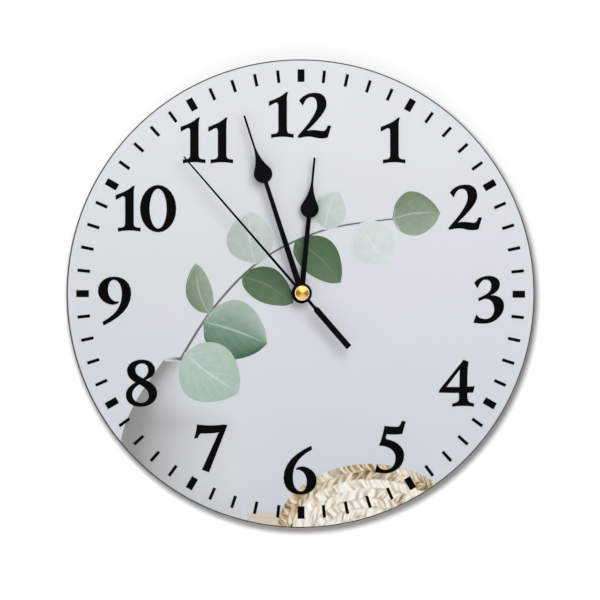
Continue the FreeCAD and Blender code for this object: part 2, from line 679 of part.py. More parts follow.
def make_threaded_bushing():
    body = new_body("threaded_bushing")
    bore = "hour_tube + play"
    add_ring_about_axis(body, [
        (bore, "case_depth - front_wall"), ("thread_radius", "case_depth - front_wall"),
        ("thread_radius", "case_depth"), ("bushing_flange", "case_depth"),
        ("bushing_flange", "board_depth - clamp_play"),
        ("thread_radius", "board_depth - clamp_play"),
        ("thread_radius", "bushing_tip - bushing_chamfer"),
        ("thread_radius - bushing_chamfer", "bushing_tip"),
        (bore, "bushing_tip")])
    first = "board_depth + thread_start"
    sketch = new_sketch(body, role="XZ_Plane")
    draw_polygon(sketch, [
        ("thread_radius - thread_deep", first),
        ("thread_radius + clamp_play", f"{first} - thread_half"),
        ("thread_radius + clamp_play", f"{first} + thread_half")])
    doc.recompute()
    groove = body.newObject("PartDesign::Groove", "Groove")
    groove.Profile = (sketch, [""])
    groove.ReferenceAxis = (sketch, ["V_Axis"])
    groove.Angle = 360
    body.Tip = groove
    rows = body.newObject("PartDesign::LinearPattern", "LinearPattern")
    axis = next(item for item in body.Origin.OriginFeatures if item.Role == "Z_Axis")
    grooves = math.floor(
        number("(bushing_tip - board_depth - 2 * thread_start) / thread_pitch")) + 1
    rows.Originals = [groove]
    rows.Direction = (axis, [""])
    rows.Mode = "Spacing"
    rows.setExpression("Offset", bound("thread_pitch"))
    rows.Occurrences = grooves
    body.Tip = rows


# ---------------------------------------------------------------- movement case

def make_movement_case():
    """Front shell: gear space above, battery bay below, hanger loop on top."""
    body = new_body("movement_case")
    block = add_box(body, "-case_half", "-case_half", "case_half", "case_half", "0", "case_depth")
    round_edges(body, block, "case_round", is_upright_edge)
    inner = "case_depth - front_wall"
    side = "case_half - case_wall"
    spaces = new_sketch(body)
    draw_box(spaces, f"-({side})", "gear_floor", side, side)
    cut_pocket(body, spaces, inner)
    bay = new_sketch(body)
    draw_box(bay, f"-({side})", f"-({side})", side, "bay_top")
    cut_pocket(body, bay, inner)

    slots = new_sketch(body)
    reach = f"{side} - strip_thick - 2 * slot_play"
    draw_box(slots, f"-({side})", "bay_top", f"-({reach})", "gear_floor")
    draw_box(slots, reach, "bay_top", side, "gear_floor")
    cut_pocket(body, slots, "contact_high + slot_play")

    notch = new_sketch(body, role="XZ_Plane", depth=side)
    draw_circle(notch, "notch_radius")
    doc.recompute()
    cut_pocket(body, notch, "2 * case_wall")

    loop = new_sketch(body)
    draw_polygon(loop, [
        ("-hook_width / 2", "case_half - hook_root"), ("hook_width / 2", "case_half - hook_root"),
        ("hook_width / 2", "hook_top - hook_corner"), ("hook_width / 2 - hook_corner", "hook_top"),
        ("-hook_width / 2 + hook_corner", "hook_top"),
        ("-hook_width / 2", "hook_top - hook_corner")])
    add_pad(body, loop, "hook_thick")
    drill(body, "hook_hole", "0", "hook_thick", [("0", "hook_hole_up")])

    posts = new_sketch(body, depth="bridge_low + bridge_thick")
    stakes = new_sketch(body, depth="bridge_low - stake_proud")
    for across in ("-post_across", "post_across"):
        for up in ("post_up", "post_down"):
            draw_circle(posts, "post_radius", across, up)
            draw_circle(stakes, "stake_radius", across, up)
    add_pad(body, posts, f"{inner} - bridge_low - bridge_thick")
    add_pad(body, stakes, "bridge_thick + stake_proud + boss_root")

    motion = as_formulas(MOTION_POST)
    add_disc(body, "motion_post", "cannon_depth - boss_gap", inner, *motion)
    third = as_formulas(THIRD_SHAFT)
    third_boss = "centre_depth + tooth_width + 4 * boss_gap"
    add_disc(body, "pivot_boss", third_boss, inner, *third)
    drill(body, "pivot_radius + play", third_boss, inner, [third])
    setting = as_formulas(SETTING_SHAFT)
    setting_boss_low = "hour_depth - cannon_gap"
    add_disc(body, "setting_boss", setting_boss_low, inner, *setting)
    drill(body, "setting_radius + play", setting_boss_low, inner, [setting])
    drill(body, "thread_radius", inner, "case_depth")


def make_rear_cover():
    """Closes the gear space, carries the rear pivots, and has a cup for the setting knob."""
    body = new_body("rear_cover")
    side = "case_half - case_wall - cover_gap"
    add_box(body, f"-({side})", "gear_floor + cover_gap", side, side, "0", "cover_thick")
    cup = as_formulas(SETTING_SHAFT)
    outside = "knob_radius + cup_play + cup_wall"
    add_disc(body, outside, "0", "cup_floor + cup_wall", *cup)
    drill(body, "knob_radius + cup_play", "0", "cup_floor", [cup])
    drill(body, "setting_radius + play", "cup_floor", "cup_floor + cup_wall", [cup])
    bosses = new_sketch(body, depth="cover_thick - boss_root")
    pivots = [("0", "0"), as_formulas(THIRD_SHAFT), as_formulas(INTER_SHAFT),
              as_formulas(ROTOR_SHAFT)]
    for across, up in pivots:
        draw_circle(bosses, "pivot_boss", across, up)
    add_pad(body, bosses, "pivot_boss_long + boss_root")
    drill(body, "pivot_radius + play", "cover_thick - pivot_deep", "cover_thick + pivot_boss_long",
          pivots)
    pegs = new_sketch(body, depth="cover_thick - boss_root")
    for across in ("pcb_left + peg_inset", "pcb_right - peg_inset"):
        for up in ("pcb_foot + peg_inset", "pcb_top - peg_inset"):
            draw_circle(pegs, "peg_radius", across, up)
    add_pad(body, pegs, "pcb_low - cover_thick + boss_root")


def make_gear_bridge():
    """Middle plate with the front bearings of the train."""
    body = new_body("gear_bridge")
    low = "bridge_low"
    high = "bridge_low + bridge_thick"
    add_box(body, "-bridge_half", "bridge_foot", "bridge_half", "bridge_top", low, high)
    corners = [(across, up) for across in ("-post_across", "post_across")
               for up in ("post_up", "post_down")]
    drill(body, "stake_radius + play", low, high, corners)
    drill(body, "arbor_radius + play", low, high)
    drill(body, "third_hub + 2 * boss_gap", low, high, [as_formulas(THIRD_SHAFT)])
    small = [as_formulas(INTER_SHAFT), as_formulas(ROTOR_SHAFT)]
    drill(body, "pivot_radius + play", low, high, small)
    drill(body, "setting_radius + play", low, high, [as_formulas(SETTING_SHAFT)])
    leg = "stator_half - stator_leg / 2"
    for across in (f"-({leg})", leg):
        add_disc(body, "prop_radius", "stator_low + stator_thick", low, across, "prop_up")


# ---------------------------------------------------------------- motor

def make_stator_plate():
    """Soft iron plate: an eye round the rotor, and two legs that rise to the coil core."""
    body = new_body("stator_plate")
    low = "stator_low"
    high = "stator_low + stator_thick"
    inside = "stator_half - stator_leg"
    top = "core_up + core_half"
    sketch = new_sketch(body, depth=low)
    draw_polygon(sketch, [
        ("-stator_half", "stator_bar_low"), ("stator_half", "stator_bar_low"),
        ("stator_half", top), (inside, top), (inside, "stator_bar_top"),
        (f"-({inside})", "stator_bar_top"), (f"-({inside})", top), ("-stator_half", top)])
    add_pad(body, sketch, "stator_thick")
    rotor = as_formulas(ROTOR_SHAFT)
    add_disc(body, "stator_ring", low, high, *rotor)
    drill(body, "magnet_radius + stator_gap", low, high, [rotor])


def make_coil():
    """Core, bobbin and copper winding; the core lies on the stator's legs."""
    low = "stator_low - stator_thick"
    core = new_body("coil_core")
    add_box(core, "-stator_half", "core_up - core_half", "stator_half", "core_up + core_half",
            low, "stator_low")
    centre = "stator_low - stator_thick / 2"
    tube_up = "core_half + bobbin_wall"
    tube_deep = "stator_thick / 2 + bobbin_wall"

    bobbin = new_body("coil_bobbin")
    add_box(bobbin, "-bobbin_half", f"core_up - ({tube_up})", "bobbin_half",
            f"core_up + {tube_up}", f"{centre} - ({tube_deep})", f"{centre} + {tube_deep}")
    for left in ("-bobbin_half", "bobbin_half - 2 * bobbin_wall"):
        add_box(bobbin, left, "core_up - bobbin_flange", f"{left} + 2 * bobbin_wall",
                "core_up + bobbin_flange", f"{centre} - bobbin_flange",
                f"{centre} + bobbin_flange")
    bore = new_sketch(bobbin, depth=low)
    draw_box(bore, "-bobbin_half - 1", "core_up - core_half", "bobbin_half + 1",
             "core_up + core_half")
    cut_pocket(bobbin, bore, "stator_thick")

    winding = new_body("coil_winding")
    inner_half = "bobbin_half - 2 * bobbin_wall"
    sketch = new_sketch(winding, role="YZ_Plane", depth=f"-({inner_half})")
    draw_circle(sketch, "winding_radius", "core_up", centre)
    draw_box(sketch, f"core_up - ({tube_up})", f"{centre} - ({tube_deep})",
             f"core_up + {tube_up}", f"{centre} + {tube_deep}")
    add_pad(winding, sketch, f"2 * ({inner_half})")


# ---------------------------------------------------------------- electronics

def make_electronics():
    board = new_body("circuit_board")
    add_box(board, "pcb_left", "pcb_foot", "pcb_right", "pcb_top", "pcb_low",
            "pcb_low + pcb_thick")
    face = "pcb_low + pcb_thick"
    chip = new_body("clock_chip", "chip_across", "chip_up")
    add_ring_about_axis(chip, [
        ("0", face), ("chip_radius", face),
        ("chip_radius * cos(25)", f"{face} + resin_height * sin(25)"),
        ("chip_radius * cos(60)", f"{face} + resin_height * sin(60)"),
        ("0", f"{face} + resin_height")])
    crystal = new_body("quartz_crystal")
    sketch = new_sketch(crystal, role="YZ_Plane", depth="crystal_across")
    draw_circle(sketch, "crystal_radius", "crystal_up", f"{face} + crystal_radius")
    add_pad(crystal, sketch, "crystal_length")


def make_battery_cell():
    body = doc.addObject("PartDesign::Body", "battery_cell")
    body.Label = "battery_cell"
    along_x = FreeCAD.Rotation(FreeCAD.Vector(0, 1, 0), 90)
    body.Placement = FreeCAD.Placement(FreeCAD.Vector(0, 0, 0), along_x)
    body.setExpression("Placement.Base.x", bound("cell_tip"))
    body.setExpression("Placement.Base.y", bound("-cell_depth"))
    body.setExpression("Placement.Base.z", bound("cell_up"))
    add_ring_about_axis(body, [
        ("0", "0"), ("button_radius - button_chamfer", "0"), ("button_radius", "button_chamfer"),
        ("button_radius", "button_long"), ("cell_radius - cell_shoulder", "button_long"),
        ("cell_radius", "button_long + cell_shoulder_long"),
        ("cell_radius", "cell_length - cell_chamfer"),
        ("cell_radius - cell_chamfer", "cell_length"), ("0", "cell_length")])


def make_contacts():
    """Sprung strips at the two ends of the battery, with tails to the circuit board."""
    outside = "case_half - case_wall"
    inside = "case_half - case_wall - strip_thick"
    pcb_face = "pcb_low + pcb_thick"

    positive = new_body("positive_contact")
    add_box(positive, f"-({outside})", "contact_foot", f"-({inside})", "contact_top",
            "contact_low", "contact_high")
    add_box(positive, f"-({outside})", "contact_top", f"-({inside})", "tail_up",
            "contact_low", "tail_high")
    add_box(positive, f"-({outside})", "tail_up - strip_thick", "tail_right", "tail_up",
            "contact_low", "tail_high")
    add_box(positive, "tail_right - strip_thick", "tail_up", "tail_right", "pcb_foot + tail_lap",
            "contact_low", "tail_high")
    add_box(positive, "tail_right - tail_foot", "pcb_foot + tail_lap / 4", "tail_right",
            "pcb_foot + tail_lap", pcb_face, f"{pcb_face} + strip_thick")

    negative = new_body("negative_contact")
    add_box(negative, inside, "contact_foot", outside, "contact_top", "contact_low",
            "contact_high")
    tongue = new_sketch(negative, role="XZ_Plane", depth="-cell_up - tongue_half")
    reach = f"{inside} - tongue_reach"
    root = f"{inside} + strip_thick / 2"
    free_end = f"{inside} - 2 * tongue_thick"
    draw_polygon(tongue, [
        (root, "contact_low"), (root, "contact_low + 3 * tongue_thick"),
        (f"{reach} + tongue_thick", "cell_depth - tongue_flat"),
        (f"{reach} + tongue_thick", "cell_depth + tongue_flat"),
        (f"{free_end} + tongue_thick", "contact_high - 3 * tongue_thick"),
        (free_end, "contact_high - 3 * tongue_thick"),
        (reach, "cell_depth + tongue_flat"), (reach, "cell_depth - tongue_flat"),
        (f"{inside} - tongue_thick", "contact_low")])
    add_pad(negative, tongue, "2 * tongue_half")
    add_box(negative, inside, "contact_top", outside, "pcb_foot + 2 * tail_lap", "contact_low",
            "tail_high")
    add_box(negative, "pcb_right - tail_foot", "pcb_foot + tail_lap", outside,
            "pcb_foot + 2 * tail_lap", pcb_face, f"{pcb_face} + strip_thick")


# ---------------------------------------------------------------- hands

def draw_spade(sketch, hand):
    """Outline of a spade hand that points up: tapered shaft, round spade, hollow flanks, point."""
    root = number(f"{hand}_root_half")
    neck = number(f"{hand}_neck_half")
    point = number(f"{hand}_point_half")
    centre = number(f"{hand}_spade")
    spade = number(f"{hand}_spade_radius")
    reach = number(f"{hand}_reach")
    flank = number("flank_radius")

    flank_up = centre + math.sqrt((flank + spade) ** 2 - (point + flank) ** 2)
    share = spade / (flank + spade)
    joint = (share * (point + flank), centre + share * (flank_up - centre))
    neck_up = centre - math.sqrt(spade ** 2 - neck ** 2)
    lean = math.atan2(flank_up - centre, point + flank)
    middle = 0.5 * (lean - math.acos(neck / spade))
    bulge = (spade * math.cos(middle), centre + spade * math.sin(middle))
    bow = 0.5 * lean
    hollow = (point + flank - flank * math.cos(bow), flank_up - flank * math.sin(bow))

    def at(place, side):
        return FreeCAD.Vector(side * place[0], place[1], 0)

    shapes = []
    for side in (1, -1):
        shapes.append([
            Part.LineSegment(at((root, 0), side), at((neck, neck_up), side)),
            Part.Arc(at((neck, neck_up), side), at(bulge, side), at(joint, side)),
            Part.Arc(at(joint, side), at(hollow, side), at((point, flank_up), side)),
            Part.LineSegment(at((point, flank_up), side), at((point, reach - point), side)),
        ])
    right, left = shapes
    outline = right[:]
    outline.append(Part.Arc(at((point, reach - point), 1), FreeCAD.Vector(0, reach, 0),
                            at((point, reach - point), -1)))
    outline += left[::-1]
    outline.append(Part.LineSegment(at((root, 0), -1), at((root, 0), 1)))
    sketch.addGeometry(outline, False)


def make_spade_hand(label, hand, bore):
    """A pressed sheet hand with a round hub and a collar behind it."""
    body = new_body(label, turn=-number(f"{hand}_angle"))
    low = f"{hand}_low"
    high = f"{hand}_low + hand_thick"
    add_disc(body, "hub_radius", low, high)
    sketch = new_sketch(body, depth=low)
    draw_spade(sketch, hand)
    add_pad(body, sketch, "hand_thick")
    add_disc(body, "collar_radius", f"{low} - collar_long", low)
    drill(body, bore, f"{low} - collar_long", high)


def make_hands():
    make_spade_hand("hour_hand", "hour", "hour_tube")
    make_spade_hand("minute_hand", "minute", "minute_tube")
    nut = new_body("minute_nut")
    low = "minute_low + hand_thick"
    add_disc(nut, "minute_nut_radius", low, "minute_tip")
    drill(nut, "minute_tube", low, "minute_tip")

    needle = new_body("second_hand", turn=-number("second_angle"))
    high = "needle_low + needle_thick"
    add_disc(needle, "needle_hub", "needle_low", high)
    blade = new_sketch(needle, depth="needle_low")
    draw_polygon(blade, [
        ("needle_root_half", "0"), ("needle_tip_half", "needle_reach - needle_tip_half"),
        ("0", "needle_reach"), ("-needle_tip_half", "needle_reach - needle_tip_half"),
        ("-needle_root_half", "0"), ("-tail_neck_half", "-tail_neck_end"),
        ("-tail_bar_half", "-tail_bar_start"), ("-tail_bar_half", "-tail_reach"),
        ("tail_bar_half", "-tail_reach"), ("tail_bar_half", "-tail_bar_start"),
        ("tail_neck_half", "-tail_neck_end")])
    add_pad(needle, blade, "needle_thick")
    drill(needle, "socket_radius", "needle_low", high)

    cap = new_body("second_cap")
    add_ring_about_axis(cap, [
        ("arbor_radius", "socket_low"), ("socket_radius", "socket_low"), ("socket_radius", high),
        ("cap_radius - cap_edge", high), ("cap_radius", f"{high} + cap_edge"),
        ("cap_radius", f"{high} + cap_rim"), ("cap_radius - cap_lip", f"{high} + cap_rim"),
        ("cap_radius - cap_lip - cap_step", f"{high} + cap_rim - cap_step_deep"),
        ("cap_dimple", f"{high} + cap_rise"),
        ("0", f"{high} + cap_rise"), ("0", "arbor_tip"), ("arbor_radius", "arbor_tip")])


# ---------------------------------------------------------------- build, check and write

def check_document():
    """Stops if any object failed, or any piece is not one or more valid solids."""
    for item in doc.Objects:
        if "Invalid" in item.State or "Error" in item.State:
            raise RuntimeError(f"{item.Name} ({item.TypeId}) failed: {item.State}")
    for body in pieces():
        if body.Shape.isNull() or not body.Shape.isValid() or not body.Shape.Solids:
            raise RuntimeError(f"{body.Label} has no valid solid")


def pieces():
    return [item for item in doc.Objects if item.TypeId == "PartDesign::Body"]


def write_pieces():
    os.makedirs("parts", exist_ok=True)
    for body in pieces():
        body.Shape.exportStep(f"parts/{body.Label}.step")


make_dial_board()
make_dial_print()
make_washers_and_nut()
make_threaded_bushing()
make_movement_case()
make_rear_cover()
make_gear_bridge()
make_stator_plate()
make_coil()
make_rotor()
make_intermediate_wheel()
make_second_wheel()
make_second_arbor()
make_third_wheel()
make_centre_wheel()
make_cannon_pinion()
make_motion_wheel()
make_hour_wheel()
make_setting_parts()
make_electronics()
make_battery_cell()
make_contacts()
make_hands()

doc.recompute()
check_document()
write_pieces()
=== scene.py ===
import math
import re

import bmesh
import bpy
from bpy.props import FloatProperty, FloatVectorProperty, PointerProperty
from mathutils import Matrix, Vector
from mathutils.geometry import interpolate_bezier


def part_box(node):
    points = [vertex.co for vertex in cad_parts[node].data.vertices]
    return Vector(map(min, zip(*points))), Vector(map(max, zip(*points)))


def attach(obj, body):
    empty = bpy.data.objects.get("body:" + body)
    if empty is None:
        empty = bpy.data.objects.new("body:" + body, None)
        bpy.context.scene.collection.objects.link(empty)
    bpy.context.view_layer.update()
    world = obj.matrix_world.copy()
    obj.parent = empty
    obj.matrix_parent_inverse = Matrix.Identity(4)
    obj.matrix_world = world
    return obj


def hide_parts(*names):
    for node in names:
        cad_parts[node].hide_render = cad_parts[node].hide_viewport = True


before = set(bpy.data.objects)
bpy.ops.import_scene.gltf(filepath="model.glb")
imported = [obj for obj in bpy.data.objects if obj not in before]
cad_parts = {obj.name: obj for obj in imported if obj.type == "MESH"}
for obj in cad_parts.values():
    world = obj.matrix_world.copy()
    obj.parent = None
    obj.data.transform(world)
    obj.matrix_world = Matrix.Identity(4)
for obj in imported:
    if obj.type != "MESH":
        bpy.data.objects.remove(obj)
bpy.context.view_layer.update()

bl_info = {
    "name": "Printed Wall Clock",
    "version": (1, 0, 0),
    "blender": (4, 5, 0),
    "location": "3D View > Sidebar > Wall Clock",
    "description": "Finishes a round printed wall clock round its jointed frame",
    "category": "Object",
}

# The frame is in metres: +Z to twelve o'clock, +X to three o'clock, -Y out of the wall.
# Outlines printed on the dial are given in millimetres from the dial's centre.
MM = 0.001
PRINT_LOW, PRINT_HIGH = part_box("dial_print")
PRINT_FACE = PRINT_LOW.y
PRINT_RADIUS = PRINT_HIGH.x / MM
BOARD_LOW, BOARD_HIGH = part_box("dial_board")
# Lights: places and widths, in metres.
WALL_KEY_PLACE = (-0.19, -1.8, 0.14)
WALL_KEY_SIZE = 0.32
CLOCK_KEY_PLACE = (0.40, -1.7, 0.80)
CLOCK_KEY_SIZE = 1.4
REAR_PLACE = (0.7, 1.5, 0.6)
REAR_SIZE = 0.8
FLOOR_TONE = 0.94
WALL_TONE = 0.62

AIM_RIGHT = -0.56 * MM  # the camera aims a little left of the hand axis
AIM_UP = -3.48 * MM  # and below it
WALL_FACE = 0.3 * MM  # the wall stands just behind the movement's back

STUDIO_LEVEL = 1.10  # how bright a white surface looks on the dial, 1 being pure white


def seen(red, green, blue):
    """The base colour that looks like these 8-bit sRGB values under the studio's light."""
    linear = [v / 3294.6 if v <= 10 else ((v / 255 + 0.055) / 1.055) ** 2.4
              for v in (red, green, blue)]
    return tuple(min(v / STUDIO_LEVEL, 1.0) for v in linear)


# ---------------------------------------------------------------- settings

def colour(name, description, default):
    return FloatVectorProperty(name=name, description=description, subtype="COLOR", size=3, min=0,
                               max=1, default=default)


def length(name, description, default):
    return FloatProperty(name=name, description=description, unit="LENGTH", default=default)


def power(name, description, default):
    return FloatProperty(name=name, description=description, unit="POWER", default=default)


class DialSettings(bpy.types.PropertyGroup):
    ink: colour("Ink", "Colour of the numerals and ticks", (0.0015, 0.0015, 0.0018))
    sky_top: colour("Backdrop top", "Printed backdrop at twelve o'clock", seen(221, 225, 228))
    sky_bottom: colour("Backdrop bottom", "Printed backdrop at six o'clock", seen(201, 205, 213))
    ring_radius: length("Ring radius", "Middle of the ring of ticks", 116.55 * MM)
    tick_length: length("Tick length", "Length of every tick", 6.7 * MM)
    minute_width: length("Minute tick", "Width of a minute tick", 1.65 * MM)
    hour_width: length("Hour tick", "Width of an hour tick", 3.7 * MM)
    numeral_height: length("Numeral height", "Height of the numerals", 24.1 * MM)


class HandSettings(bpy.types.PropertyGroup):
    paint: colour("Paint", "Colour of the hands", (0.0016, 0.0018, 0.003))
    brass: colour("Brass", "Colour of the cap, nut and bushing", (0.72, 0.43, 0.11))
    edge: length("Edge", "Rounding of the pressed edges", 0.07 * MM)


class MovementSettings(bpy.types.PropertyGroup):
    case: colour("Case", "Colour of the moulded case", (0.018, 0.018, 0.020))
    gears: colour("Gears", "Colour of the natural acetal gears", (0.78, 0.76, 0.68))
    tinted_gears: colour("Tinted gears", "Colour of the tinted gears", (0.45, 0.05, 0.03))
    wire: length("Wire", "Diameter of the coil's wire", 0.3 * MM)
    edge: length("Edge", "Rounding of the moulded edges", 0.18 * MM)


class StudioSettings(bpy.types.PropertyGroup):
    azimuth: FloatProperty(
        name="Azimuth", description="Camera's direction round the clock", subtype="ANGLE",
        default=math.radians(-3.5))
    elevation: FloatProperty(
        name="Elevation", description="Camera's height angle", subtype="ANGLE",
        default=math.radians(-1.2))
    view_width: length("View width", "Width seen at the dial", 320.0 * MM)
    lens: FloatProperty(name="Lens", description="Focal length", unit="CAMERA", default=500.0)
    floor_drop: length("Floor", "Height of the floor below the hand axis", 0.24)
    key_power: power("Key", "Power of the light on the clock", 24.5)
    rear_power: power("Rear fill", "Power of the light on the clock's back", 8.0)
    wall_power: power("Wall key", "Power of the light on the wall", 42.0)
    ambient: FloatProperty(
        name="Ambient", description="Strength of the even light all round", subtype="FACTOR",
        min=0, max=1, default=0.30)
    wall_width: length("Wall width", "Width of the wall and of the floor", 3.0)


def settings():
    return bpy.context.scene.wall_clock


class ClockSettings(bpy.types.PropertyGroup):
    dial: PointerProperty(type=DialSettings)
    hands: PointerProperty(type=HandSettings)
    movement: PointerProperty(type=MovementSettings)
    studio: PointerProperty(type=StudioSettings)


# ---------------------------------------------------------------- material nodes

class Recipe:
    """One material, whose nodes are added and joined by short calls."""

    def __init__(self, name):
        self.material = bpy.data.materials.new(name)
        self.material.use_nodes = True
        self.tree = self.material.node_tree
        self.tree.nodes.clear()
        self.shader = self.node("ShaderNodeBsdfPrincipled")
        self.output = self.node("ShaderNodeOutputMaterial", {"Surface": self.shader.outputs[0]})
        self.place = self.node("ShaderNodeTexCoord").outputs["Object"]

    def node(self, kind, inputs=None, **choices):
        made = self.tree.nodes.new(kind)
        for name, value in choices.items():
            setattr(made, name, value)
        for key, value in (inputs or {}).items():
            if isinstance(value, bpy.types.NodeSocket):
                self.tree.links.new(value, made.inputs[key])
            else:
                made.inputs[key].default_value = value
        return made

    def math(self, operation, first, second=0.0, third=0.0):
        inputs = {0: first, 1: second, 2: third}
        return self.node("ShaderNodeMath", inputs, operation=operation).outputs[0]

    def times(self, first, second):
        return self.math("MULTIPLY", first, second)

    def plus(self, first, second):
        return self.math("ADD", first, second)

    def minus(self, first, second):
        return self.math("SUBTRACT", first, second)

    def over(self, first, second):
        return self.math("DIVIDE", first, second)

    def apart(self, first, second):
        """How far apart two values are."""
        return self.math("ABSOLUTE", self.minus(first, second))

    def radius(self):
        """The distance from the hand axis."""
        x, _, z = self.axes()
        return self.math("SQRT", self.plus(self.times(x, x), self.times(z, z)))

    def fade(self, value, low, high, start=0.0, end=1.0):
        """A smooth change from start to end while value goes from low to high."""
        inputs = {"Value": value, "From Min": low, "From Max": high, "To Min": start,
                  "To Max": end}
        made = self.node("ShaderNodeMapRange", inputs, interpolation_type="SMOOTHSTEP")
        return made.outputs["Result"]

    def mix(self, share, first, second, blend="MIX"):
        first = first if isinstance(first, bpy.types.NodeSocket) else (*first, 1.0)
        second = second if isinstance(second, bpy.types.NodeSocket) else (*second, 1.0)
        made = self.node("ShaderNodeMix", data_type="RGBA", blend_type=blend)
        for socket, value in zip((made.inputs[0], made.inputs[6], made.inputs[7]),
                                 (share, first, second)):
            if isinstance(value, bpy.types.NodeSocket):
                self.tree.links.new(value, socket)
            else:
                socket.default_value = value
        return made.outputs[2]

    def ramp(self, value, stops):
        """Colours at places from 0 to 1."""
        made = self.node("ShaderNodeValToRGB", {"Fac": value})
        ends = made.color_ramp.elements
        while len(ends) < len(stops):
            ends.new(0.5)
        for element, (place, colour) in zip(ends, stops):
            element.position = place
            element.color = (*colour, 1.0)
        return made.outputs["Color"]

    def stretched(self, scale, turn=(0.0, 0.0, 0.0)):
        inputs = {"Vector": self.place, "Scale": scale, "Rotation": turn}
        return self.node("ShaderNodeMapping", inputs).outputs[0]

    def noise(self, scale, detail=3.0, vector=None):
        inputs = {"Vector": vector or self.place, "Scale": scale, "Detail": detail}
        return self.node("ShaderNodeTexNoise", inputs).outputs["Fac"]

    def axes(self, vector=None):
        return self.node("ShaderNodeSeparateXYZ", {0: vector or self.place}).outputs

    def stored(self, name):
        return self.node("ShaderNodeAttribute", attribute_name=name).outputs

    def bump(self, height, strength, depth):
        inputs = {"Height": height, "Strength": strength, "Distance": depth}
        made = self.node("ShaderNodeBump", inputs)
        self.tree.links.new(made.outputs[0], self.shader.inputs["Normal"])

    def finish(self, colour, roughness, metallic=0.0, **sockets):
        """Sets the shader's own sockets; words are joined by _ as in Coat_Weight."""
        values = {"Base Color": colour, "Roughness": roughness, "Metallic": metallic}
        values.update({name.replace("_", " "): value for name, value in sockets.items()})
        for name, value in values.items():
            socket = self.shader.inputs[name]
            if isinstance(value, bpy.types.NodeSocket):
                self.tree.links.new(value, socket)
            else:
                socket.default_value = (*value, 1.0) if name == "Base Color" else value
        return self.material


def lighter(colour, share):
    return tuple(min(1.0, value * share) for value in colour)


def speckled(name, colour, roughness, grain, contrast=0.15, relief=0.02, metallic=0.0, **more):
    """A plain finish with fine mottling and a matching grain; grain is its size in metres."""
    recipe = Recipe(name)
    fine = recipe.noise(1 / grain, 4.0)
    wide = recipe.noise(0.06 / grain, 2.0)
    spots = recipe.times(fine, wide)
    tone = recipe.mix(recipe.fade(spots, 0.12, 0.42), lighter(colour, 1 - contrast),
                      lighter(colour, 1 + contrast))
    gloss = recipe.fade(wide, 0.3, 0.7, roughness * 0.85, min(1.0, roughness * 1.15))
    recipe.bump(fine, relief * 10, grain * 0.3)
    return recipe.finish(tone, gloss, metallic, **more)


def brushed(name, colour, roughness, stretch):
    """Rolled metal with fine lines along one axis."""
    recipe = Recipe(name)
    lines = recipe.noise(1.0, 3.0, recipe.stretched(stretch))
    cloud = recipe.noise(180.0)
    tone = recipe.mix(lines, lighter(colour, 0.82), lighter(colour, 1.1))
    gloss = recipe.fade(recipe.plus(lines, cloud), 0.6, 1.4, roughness * 0.7, roughness * 1.3)
    recipe.bump(lines, 0.15, 0.01 * MM)
    return recipe.finish(tone, gloss, 1.0)


def turned_brass(name, colour, spacing, roughness):
    """Brass with the fine rings of a lathe round the hand axis."""
    recipe = Recipe(name)
    radius = recipe.radius()
    wobble = recipe.times(recipe.noise(900.0), 0.3)
    turns = recipe.plus(recipe.over(radius, spacing), wobble)
    ring = recipe.math("SINE", recipe.times(turns, 2 * math.pi))
    tone = recipe.mix(recipe.fade(ring, -1.0, 1.0), lighter(colour, 0.7), lighter(colour, 1.2))
    stain = recipe.fade(recipe.noise(350.0, 4.0), 0.45, 0.75)
    tone = recipe.mix(recipe.times(stain, 0.35), tone, lighter(colour, 0.55))
    recipe.bump(ring, 0.35, 0.02 * MM)
    return recipe.finish(tone, roughness, 1.0)


CAP_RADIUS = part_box("second_cap")[1].z


def cap_material(colour):
    """Turned cap: a painted highlight at top and bottom and painted shade at the sides stand in for
    the light that the lathe's rings throw up and down; it is darker towards its middle, and a painted
    highlight ring lies near its rim.
    """
    recipe = Recipe("turned_cap")
    z = recipe.axes()[2]
    radius = recipe.radius()
    share = recipe.over(radius, CAP_RADIUS)
    upright = recipe.over(recipe.math("ABSOLUTE", z), radius)
    # Painted highlight on the top and bottom of the cap, painted shade on its sides.
    glint = recipe.fade(recipe.math("MULTIPLY_ADD", recipe.noise(1500.0), 0.4, upright), 0.4, 1.15)
    face = recipe.mix(glint, lighter(colour, 0.25), lighter(colour, 1.0))
    face = recipe.mix(recipe.fade(share, 0.1, 0.4), lighter(colour, 0.7), face)
    ring = recipe.math("SINE", recipe.times(radius, 2 * math.pi / (0.35 * MM)))
    face = recipe.mix(recipe.fade(ring, -1.0, 1.0, 0.0, 0.25), face, lighter(colour, 0.5))
    # Painted highlight: a bright ring near the cap's rim.
    rim = recipe.times(recipe.fade(share, 0.82, 0.90), recipe.fade(share, 0.98, 0.93))
    face = recipe.mix(rim, face, (0.85, 0.66, 0.38))
    recipe.bump(ring, 0.2, 0.01 * MM)
    return recipe.finish(face, 0.34, 0.85)


# ---------------------------------------------------------------- the printed picture

ART_SPAN = 2 * PRINT_RADIUS * MM
PICTURE_SHIFT = Vector((-0.85, 0.1))  # how far off the hand axis the picture is printed
BORDER = 0.12  # width of the dark line at the print's edge


def backdrop_tone(recipe):
    """The printed backdrop: cooler and darker towards the foot of the dial."""
    dial = settings().dial
    height = recipe.axes()[2]
    share = recipe.plus(recipe.over(height, ART_SPAN), 0.5)
    middle = tuple(0.5 * low + 0.5 * high for low, high in zip(dial.sky_bottom, dial.sky_top))
    tone = recipe.ramp(share, [(0.03, dial.sky_bottom), (0.42, middle), (0.9, dial.sky_top)])
    cloud = recipe.fade(recipe.noise(9.0, 2.0), 0.3, 0.7)
    return recipe.mix(recipe.times(cloud, 0.5), tone, seen(214, 217, 224))


PRINT_GLOSS = 0.02
PRINT_ROUGHNESS = 0.3


def printed(recipe, tone):
    """Finishes a printed tone with the satin surface that all of the print shares."""
    recipe.bump(recipe.noise(5000.0, 2.0), 0.04, 0.01 * MM)
    return recipe.finish(tone, PRINT_ROUGHNESS, Specular_IOR_Level=PRINT_GLOSS)


